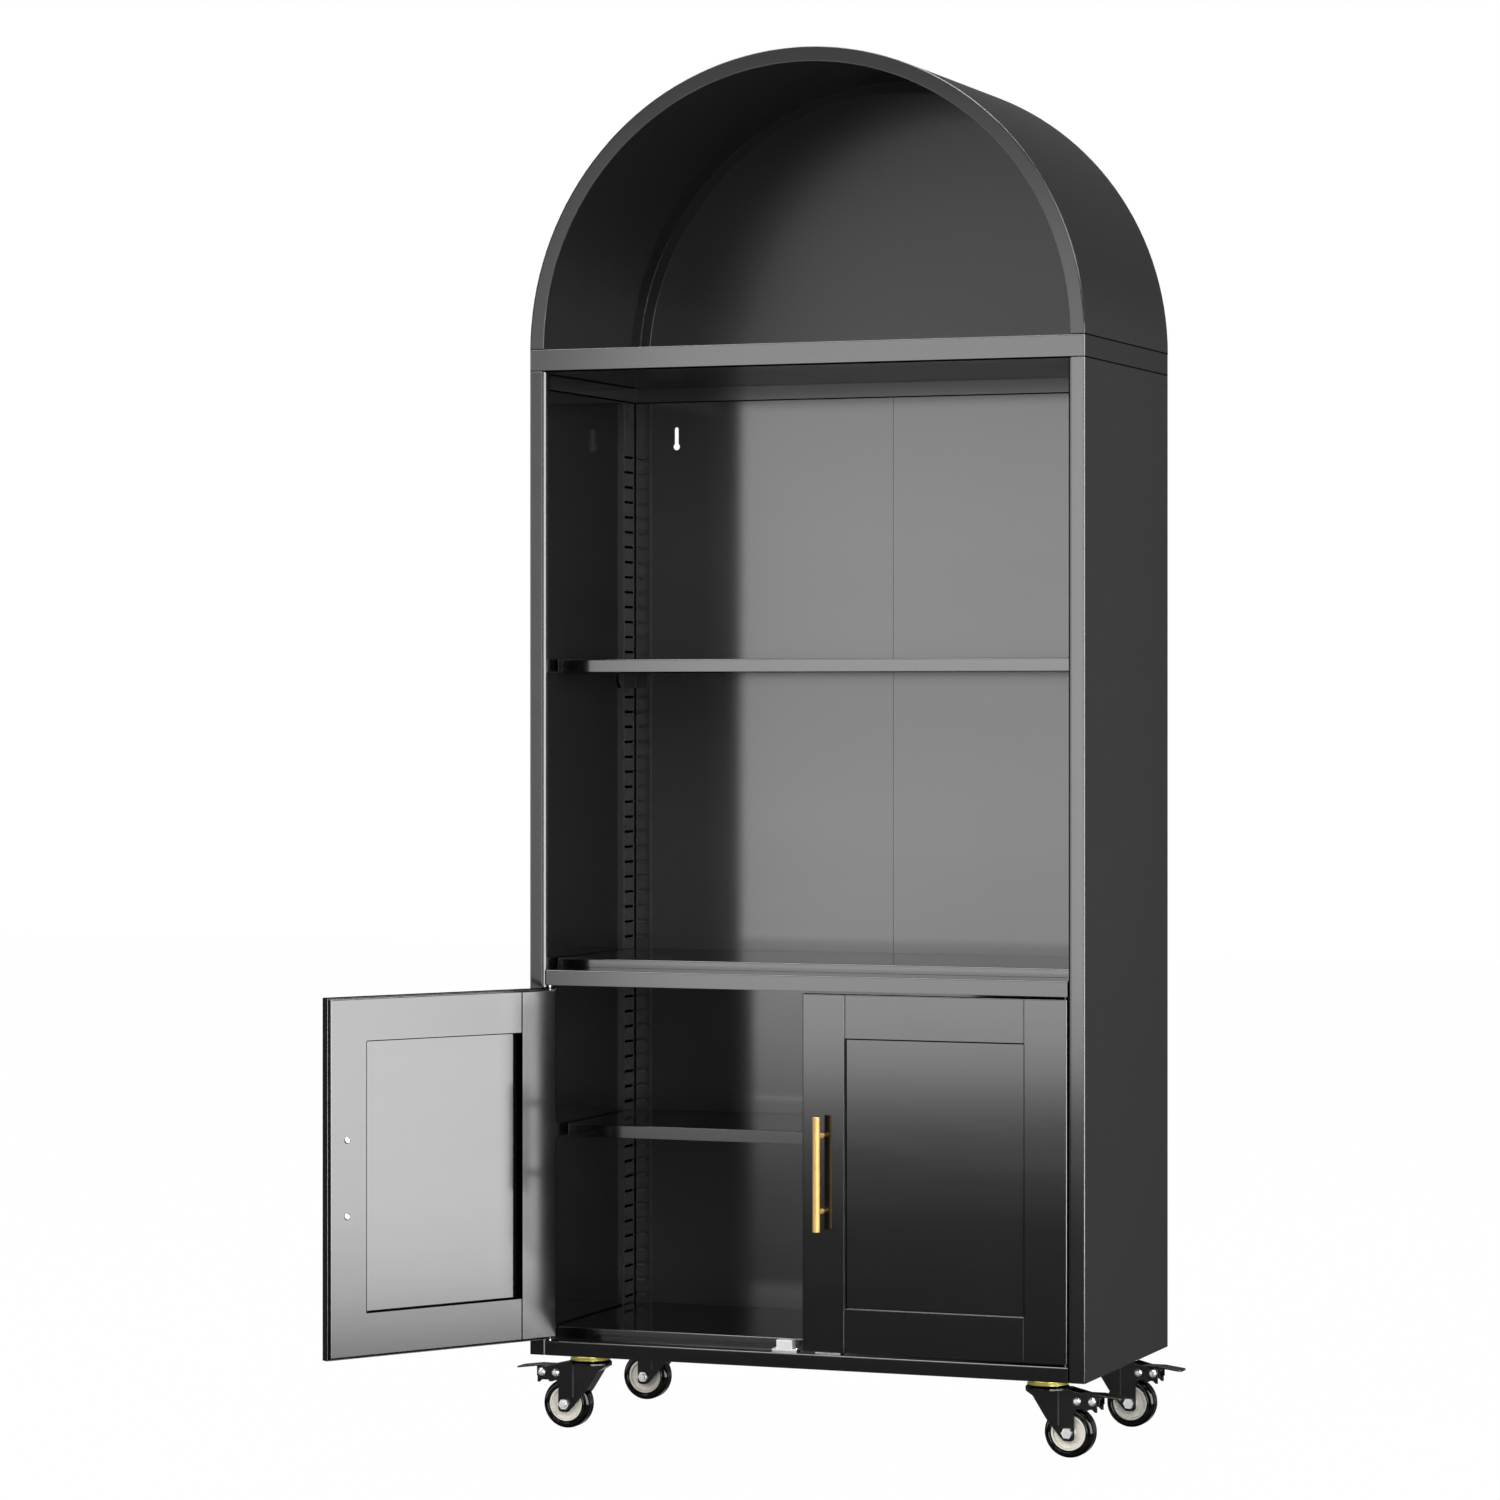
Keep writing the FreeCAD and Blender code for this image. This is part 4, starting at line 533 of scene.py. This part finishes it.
paint["gold_metal"] = plated("brass_plate", (0.54, 0.335, 0.10), (0.49, 0.29, 0.08),
                             gloss=0.50, streak=0.03, metallic=0.34, drawn=UPRIGHT_MARKS)
paint["bright_steel"] = plated("bright_zinc", (0.66, 0.66, 0.65), (0.54, 0.54, 0.55),
                               gloss=0.24, streak=0.10, metallic=0.62)
paint["yellow_zinc"] = plated("yellow_zinc", (0.94, 0.82, 0.17), (0.80, 0.74, 0.18),
                              gloss=0.30, streak=0.08, metallic=0.35)
print("finishes so far:", len(paint))

# %% [markdown]
# ## Plastic and rubber
# The catches are white plastic, the wheel centres cream plastic with a fine speckle of darker
# regrind, and the tyres polished black rubber. All three are moulded, so they share one recipe: a
# haze where the melt cooled unevenly, a speckle, and a fine skin texture.

# %% Moulded recipe
HAZE_SCALE = 45.0
SPECK_SCALE = 750.0
SKIN_SCALE = 520.0
SKIN_HEIGHT = 0.00006
SPECK_SHADE = 0.45


def moulded(name, shade, second, gloss, peel, speckle, shine=0.50):
    """Moulded plastic or rubber. Peel is how deep its skin is, speckle how dark its specks are."""
    material, r = new_material(name)
    haze = r.noise(HAZE_SCALE, 4.0)
    specks = r.flecks(SPECK_SCALE).ramp((0.16, 1.0), (0.30, 0.0)) * speckle
    edge = r.edges(0.0007)
    body = r.mix((haze.ramp((0.38, 0.0), (0.70, 1.0)) * 0.6 + edge * 0.3).clamp(), shade, second)
    body = r.mix(specks.clamp(), body, tuple(level * SPECK_SHADE for level in second))
    rough = gloss + (haze - 0.5) * 0.10 + specks * 0.1
    skin = r.bump(r.noise(SKIN_SCALE, 2.0), peel, SKIN_HEIGHT, r.softened(0.0006))
    r.surface(Base_Color=body, Roughness=rough.clamp(), Specular_IOR_Level=shine, Normal=skin)
    return material


paint["white_plastic"] = moulded("white_plastic", (0.82, 0.82, 0.80), (0.74, 0.74, 0.72),
                                 gloss=0.40, peel=0.10, speckle=0.10)
paint["cream_plastic"] = moulded("cream_plastic", (0.80, 0.77, 0.68), (0.70, 0.67, 0.58),
                                 gloss=0.30, peel=0.12, speckle=0.55)
paint["tyre_black"] = moulded("tyre_rubber", (0.0004, 0.0004, 0.0004), (0.0010, 0.0010, 0.0010),
                              gloss=0.10, peel=0.05, speckle=0.10, shine=0.22)
print("finishes:", len(paint))

# %% [markdown]
# ## Dress the frame
# Each node of the frame names its material slot in the record. Its mesh stays as measured and
# only its slot gets a finish, so the folds, slots and keyholes that show are the real ones.

# %% Give every node its finish
slot_of = {part["node"]: part["material_slot"] for part in frame["record"]["subparts"]}
for name, piece in nodes.items():
    piece.data.materials.clear()
    piece.data.materials.append(sheet_paint[name] if name in sheet_paint else paint[slot_of[name]])
print("nodes dressed:", len(nodes))

# %% [markdown]
# ## Turned pieces
# Tyres, wheel centres and races are round about one line, so each is a profile that is spun, as
# on a lathe. The Screw modifier could do it, but rings made by hand keep the first and last ring
# welded and let one mesh hold several turned rings. Steps of under four degrees look round at any
# distance.

# %% A lathe
TURNS = 96
SHARP_ANGLE = math.radians(38)


def arc(centre, radius, start, end, steps=8):
    """Points of a profile along a quarter round or any other arc, with angles in degrees."""
    points = []
    for i in range(steps + 1):
        angle = math.radians(start + (end - start) * i / steps)
        points.append((centre[0] + radius * math.cos(angle), centre[1] + radius * math.sin(angle)))
    return points


def spin(mesh, profile, middle, along):
    """Spin a closed profile of (radius, height) round an axis, given as Y or Z, through middle."""
    rings = []
    for i in range(TURNS):
        angle = 2 * math.pi * i / TURNS
        ring = []
        for radius, height in profile:
            out = radius * math.cos(angle)
            up = radius * math.sin(angle)
            offset = (out, height, up) if along == "Y" else (out, up, height)
            ring.append(mesh.verts.new(Vector(middle) + Vector(offset)))
        rings.append(ring)
    for i, ring in enumerate(rings):
        after = rings[(i + 1) % TURNS]
        for j in range(len(profile)):
            k = (j + 1) % len(profile)
            mesh.faces.new((ring[j], ring[k], after[k], after[j]))


def turned_piece(name, profile, middles, along, body, old_node, slot):
    """One piece of the dressed part, with a turned ring round each of its middles."""
    mesh = bmesh.new()
    for middle in middles:
        spin(mesh, profile, middle, along)
    bmesh.ops.recalc_face_normals(mesh, faces=mesh.faces)
    data = bpy.data.meshes.new(name)
    mesh.to_mesh(data)
    mesh.free()
    data.shade_smooth()
    data.set_sharp_from_angle(angle=SHARP_ANGLE)
    data.materials.append(paint[slot])
    piece = bpy.data.objects.new(name, data)
    bpy.context.scene.collection.objects.link(piece)
    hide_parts(old_node)
    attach(piece, body)
    return piece


CORNERS = ("front_left", "front_right", "rear_left", "rear_right")
print("lathe ready for", len(CORNERS), "casters")

# %% [markdown]
# ## Tyres
# A tyre is a polished rubber ring with round shoulders. Its side has a fine moulded line where it
# meets the wheel centre, and four thin lines run round the tread. They are only a third of a
# millimetre deep, but they catch the light as the bright arcs of the photograph.

# %% Tyres
TYRE_RADIUS = 0.0340
TYRE_HALF = 0.0120
SHOULDER = 0.0050
SEAT_RADIUS = 0.0240
LINE_DEPTH = 0.00035
SIDE_LINE = (0.0260, 0.0264, 0.0268, 0.0272)
TREAD_LINES = (-0.0050, -0.0010)


def mirrored(half):
    """Add the other half of a profile, from the last point back to the first."""
    return half + [(radius, -height) for radius, height in reversed(half)]


tyre_half = [(SEAT_RADIUS, -TYRE_HALF), (SIDE_LINE[0], -TYRE_HALF),
             (SIDE_LINE[1], LINE_DEPTH - TYRE_HALF), (SIDE_LINE[2], LINE_DEPTH - TYRE_HALF),
             (SIDE_LINE[3], -TYRE_HALF)]
tyre_half += arc((TYRE_RADIUS - SHOULDER, SHOULDER - TYRE_HALF), SHOULDER, -90, 0)
for line in TREAD_LINES:
    tyre_half += [(TYRE_RADIUS, line - LINE_DEPTH), (TYRE_RADIUS - LINE_DEPTH, line),
                  (TYRE_RADIUS, line + LINE_DEPTH)]
tyre_profile = mirrored(tyre_half)
for corner in CORNERS:
    turned_piece("tyre_" + corner, tyre_profile, [joint_spot["roll_" + corner]], "Y",
                 "wheel_" + corner, "caster_" + corner + "_tyre", "tyre_black")
print("tyre profile:", len(tyre_profile), "points")

# %% [markdown]
# ## Wheel centres
# The centre is one plastic moulding: a hub that stands a little proud, a web that lies deeper,
# and a rim that the tyre grips. Moulded plastic has no sharp inside corners, so the web runs up
# to hub and rim in small hollows, and a fine ring on the web marks the edge of the mould's
# insert.

# %% Wheel centres
BORE_RADIUS = 0.00405
HUB_HALF = 0.0129
WEB_HALF = 0.0095
HOLLOW = 0.0012
HOLLOW_STEPS = 5
HUB_FLAT = 0.0085
HUB_RADIUS = 0.0090
HUB_BREAK = 0.0005
INSERT_LINE = (0.0146, 0.0149, 0.0152)
INSERT_DEPTH = 0.0003
RIM_INNER = 0.0212
RIM_FLAT = 0.0215
centre_half = [(BORE_RADIUS, -HUB_HALF), (HUB_FLAT, -HUB_HALF), (HUB_RADIUS, HUB_BREAK - HUB_HALF)]
centre_half += arc((HUB_RADIUS + HOLLOW, -WEB_HALF - HOLLOW), HOLLOW, 180, 90, HOLLOW_STEPS)
centre_half += [(INSERT_LINE[0], -WEB_HALF), (INSERT_LINE[1], INSERT_DEPTH - WEB_HALF),
                (INSERT_LINE[2], -WEB_HALF)]
centre_half += arc((RIM_INNER - HOLLOW, -WEB_HALF - HOLLOW), HOLLOW, 90, 0, HOLLOW_STEPS)
centre_half += [(RIM_FLAT, -TYRE_HALF), (SEAT_RADIUS, -TYRE_HALF)]
centre_profile = mirrored(centre_half)
for corner in CORNERS:
    turned_piece("wheel_centre_" + corner, centre_profile, [joint_spot["roll_" + corner]], "Y",
                 "wheel_" + corner, "caster_" + corner + "_wheel", "cream_plastic")
print("wheel centre profile:", len(centre_profile), "points")

# %% [markdown]
# ## Swivel races
# Between the top plate and the fork of a caster sits a ring that holds the balls. It is pressed
# from sheet, with a round shoulder, a shallow rolled line round its side, and a lip that reaches
# down over the dish of the fork and keeps dust out. All four belong to the cabinet, so they are
# one piece.

# %% Swivel races
race_low, race_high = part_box("caster_races")
RACE_RADIUS = 0.0260
RACE_ROUND = 0.0020
RACE_BORE = 0.00505
LIP_DROP = 0.0028
LIP_OUT = 0.0019
LIP_SKIN = 0.0008
LIP_ROOT = 0.0012
LIP_EDGE = 0.0004
LIP_TOP = 0.0006
ROLL_LINE = (0.40, 0.48, 0.56)
ROLL_DEPTH = 0.0005
ROUND_STEPS = 6
race_height = race_high.z - race_low.z
lip_radius = RACE_RADIUS + LIP_OUT
race_profile = [(RACE_BORE, 0.0), (RACE_RADIUS - LIP_ROOT, 0.0), (lip_radius - LIP_SKIN, -LIP_DROP),
                (lip_radius, -LIP_DROP), (lip_radius, LIP_EDGE - LIP_DROP), (RACE_RADIUS, LIP_TOP)]
race_profile += [(RACE_RADIUS, race_height * ROLL_LINE[0]),
                 (RACE_RADIUS - ROLL_DEPTH, race_height * ROLL_LINE[1]),
                 (RACE_RADIUS, race_height * ROLL_LINE[2])]
race_shoulder = (RACE_RADIUS - RACE_ROUND, race_height - RACE_ROUND)
race_profile += arc(race_shoulder, RACE_ROUND, 0, 90, ROUND_STEPS)
race_profile += [(RACE_BORE, race_height)]
race_spots = [(joint_spot["swivel_" + corner][0], joint_spot["swivel_" + corner][1], race_low.z)
              for corner in CORNERS]
turned_piece("swivel_races", race_profile, race_spots, "Z",
             "cabinet", "caster_races", "yellow_zinc")
print("races: %.1f mm high" % (race_height * 1000))

# %% [markdown]
# ## Studio: what the gloss mirrors
# Black gloss shows its surroundings more than its own colour. A broad soft box stands to the left
# of the camera, which all front faces mirror as a grey band with a crisp lower end, and a
# stronger one stands to the right, which the open door mirrors. One more at each side and one
# overhead only show as the thin bright lines on folds. A faint one behind is mirrored by the
# right wall, and the floor gives a dim glow from below. Plane cards would be hit at odd angles by
# the curved pieces, so the boxes are patches on a very large dome that only reflections see: it
# neither lights nor hides.

# %% Stage helpers
def stage_mesh(name, corners, faces):
    mesh = bpy.data.meshes.new(name)
    mesh.from_pydata(corners, [], faces)
    piece = bpy.data.objects.new(name, mesh)
    bpy.context.scene.collection.objects.link(piece)
    return piece


def band(value, low, high, soft):
    """1 between two angles, with soft ends."""
    rise = ((value - (low - soft)) / (2 * soft)).clamp()
    fall = (((high + soft) - value) / (2 * soft)).clamp()
    return rise * fall


print("stage helpers ready")

# %% Dome mesh
DOME_RADIUS = 400.0
DOME_ROWS = 24
DOME_COLUMNS = 48
DOME_MIDDLE = (0, 0, 1.0)
dome_corners = []
dome_faces = []
for i in range(DOME_ROWS + 1):
    tilt = math.pi * (i / DOME_ROWS - 0.5)
    for j in range(DOME_COLUMNS):
        turn = 2 * math.pi * j / DOME_COLUMNS
        dome_corners.append((DOME_RADIUS * math.cos(tilt) * math.cos(turn),
                             DOME_RADIUS * math.cos(tilt) * math.sin(turn),
                             DOME_RADIUS * math.sin(tilt)))
for i in range(DOME_ROWS):
    for j in range(DOME_COLUMNS):
        k = (j + 1) % DOME_COLUMNS
        dome_faces.append((i * DOME_COLUMNS + j, i * DOME_COLUMNS + k,
                           (i + 1) * DOME_COLUMNS + k, (i + 1) * DOME_COLUMNS + j))
dome = stage_mesh("studio_dome", dome_corners, dome_faces)
dome.location = DOME_MIDDLE
dome.visible_camera = False
dome.visible_diffuse = False
dome.visible_transmission = False
dome.visible_volume_scatter = False
dome.visible_shadow = False
print("dome:", len(dome_faces), "faces")

# %% [markdown]
# The dome's glow is a stack of plain lights of fixed strength. Two angles of each point, how far
# round from the front and how high, say which light covers it: a band of each angle makes a box.
# Both are in degrees, and the angle round grows from the front towards the right.

# %% Two angles of a point on the dome
DEGREES = 180 / math.pi
WHITE = (1, 1, 1, 1)
dome_paint, r = new_material("studio_dome")
across, ahead, up = r.split(r.place())
side = r.node("ShaderNodeMath", {"operation": "ARCTAN2"}, {0: across, 1: 0.0 - ahead}) * DEGREES
lift = (up / DOME_RADIUS).clamp(-1.0, 1.0)
height = r.node("ShaderNodeMath", {"operation": "ARCSINE"}, {0: lift}) * DEGREES


def soft_box(sides, side_soft, heights, height_soft):
    """A mask over a range of angles round the bookcase and a range of angles up."""
    return band(side, *sides, side_soft) * band(height, *heights, height_soft)


def glow(recipe, strength):
    """A plain white light of fixed strength."""
    return recipe.node("ShaderNodeEmission", None, {"Color": WHITE, "Strength": strength})


print("dome angles ready")

# %% Dome lights
DARK_GLOW = 0.10
LEFT_HEIGHTS = (-4.65, 6.1)
RIGHT_HEIGHTS = (-7.65, 24.0)
boxes = {
    "behind, for the right wall": (0.20, soft_box((130.0, 164.2), 0.8, (-11.0, 60.0), 8.5)),
    "far left, for folds": (4.5, soft_box((-62.0, -25.5), 0.5, LEFT_HEIGHTS, 0.15)),
    "left, dim edge": (1.8, soft_box((-25.0, -22.0), 0.5, LEFT_HEIGHTS, 0.15)),
    "left, for the fronts": (6.0, soft_box((-22.9, -6.0), 0.45, LEFT_HEIGHTS, 0.15)),
    "right, for the open door": (11.0, soft_box((86.0, 95.35), 0.4, RIGHT_HEIGHTS, 0.2)),
    "right, for folds": (16.0, soft_box((26.0, 86.0), 0.4, RIGHT_HEIGHTS, 0.2)),
    "overhead": (14.0, band(height, 45.0, 95.0, 2.0)),
    "floor": (0.45, soft_box((-190.0, 100.0), 5.0, (-34.0, -14.5), 2.0)),
}
shown = glow(r, DARK_GLOW)
for box, (strength, mask) in boxes.items():
    shown = r.blend(mask, shown, glow(r, strength))
    print("box %s: strength %.2f" % (box, strength))
r.node("ShaderNodeOutputMaterial", None, {"Surface": shown})
dome.data.materials.append(dome_paint)

# %% [markdown]
# ## Floor
# The floor is a plain pale plane. It bounces light up under the trays, and it keeps a trace of
# the bookcase's shadow. To the eye it should melt into the white background, so most of what is
# seen of it is a white glow of strength 1, chosen by the kind of ray.

# %% Floor plane
FLOOR_REACH = 12
floor_corners = [(-FLOOR_REACH, -FLOOR_REACH, 0), (FLOOR_REACH, -FLOOR_REACH, 0),
                 (FLOOR_REACH, FLOOR_REACH, 0), (-FLOOR_REACH, FLOOR_REACH, 0)]
floor = stage_mesh("floor", floor_corners, [(0, 1, 2, 3)])
floor.visible_glossy = False
print("floor:", 2 * FLOOR_REACH, "m wide")

# %% Floor finish
WHITE_SHARE = 0.99
FLOOR_PALE = (0.80, 0.80, 0.80)
FLOOR_CLOUD = (0.76, 0.76, 0.76)
FLOOR_SCALE = 0.8


def seen_ray(recipe):
    """1 for rays that show a surface, by eye, in gloss or through glass, and else 0."""
    path = recipe.node("ShaderNodeLightPath").socket.node.outputs
    by_eye = Wire(recipe, path["Is Camera Ray"])
    in_gloss = Wire(recipe, path["Is Glossy Ray"])
    through_glass = Wire(recipe, path["Is Transmission Ray"])
    return (by_eye + in_gloss + through_glass).clamp()


floor_paint, r = new_material("pale_floor")
pale = r.mix(r.noise(FLOOR_SCALE) * 0.2, FLOOR_PALE, FLOOR_CLOUD)
matt = r.node("ShaderNodeBsdfDiffuse", None, {"Color": pale})
veiled = r.blend(seen_ray(r) * WHITE_SHARE, matt, glow(r, 1.0))
r.node("ShaderNodeOutputMaterial", None, {"Surface": veiled})
floor.data.materials.append(floor_paint)
print("white share of the floor:", WHITE_SHARE)

# %% [markdown]
# ## World
# The background is white where it is seen, and a plain half-strength white where it only lights.
# Two backgrounds of fixed strength are mixed by the kind of ray.

# %% World
WORLD_LIGHT = 0.55
WORLD_SEEN = 1.0
world = bpy.data.worlds.new("studio")
world.use_nodes = True
bpy.context.scene.world = world
r = Recipe(world.node_tree)
lighting = r.node("ShaderNodeBackground", None, {"Color": WHITE, "Strength": WORLD_LIGHT})
backdrop = r.node("ShaderNodeBackground", None, {"Color": WHITE, "Strength": WORLD_SEEN})
sky = r.blend(seen_ray(r), lighting, backdrop)
r.node("ShaderNodeOutputWorld", None, {"Surface": sky})
print("world light:", WORLD_LIGHT, "seen:", WORLD_SEEN)

# %% [markdown]
# ## Lamps
# Three broad lamps shape what little colour the enamel has, and the brass, plastics and zinc.
# They are left out of reflections, because the dome already draws the boxes there. Each has a
# place, a width in metres and a power in watts, and all of them look at the middle of the
# bookcase.

# %% Lamps
LAMP_AIM = Vector((0, 0, 0.9))
LAMPS = {
    "key": ((-2.6, -4.6, 3.2), 2.4, 120),
    "fill": ((3.4, -3.6, 2.6), 2.2, 70),
    "top": ((0, 1.5, 4.6), 3.0, 60),
}


def soft_lamp(name, spot, size, power):
    data = bpy.data.lights.new(name, "AREA")
    data.shape = "RECTANGLE"
    data.size = size
    data.size_y = size
    data.energy = power
    lamp = bpy.data.objects.new(name, data)
    lamp.location = spot
    lamp.rotation_euler = (LAMP_AIM - Vector(spot)).to_track_quat("-Z", "Y").to_euler()
    lamp.visible_glossy = False
    bpy.context.scene.collection.objects.link(lamp)


for name, (spot, size, power) in LAMPS.items():
    soft_lamp(name, spot, size, power)
bpy.context.scene.view_settings.view_transform = "Standard"
print("lamps:", list(LAMPS))
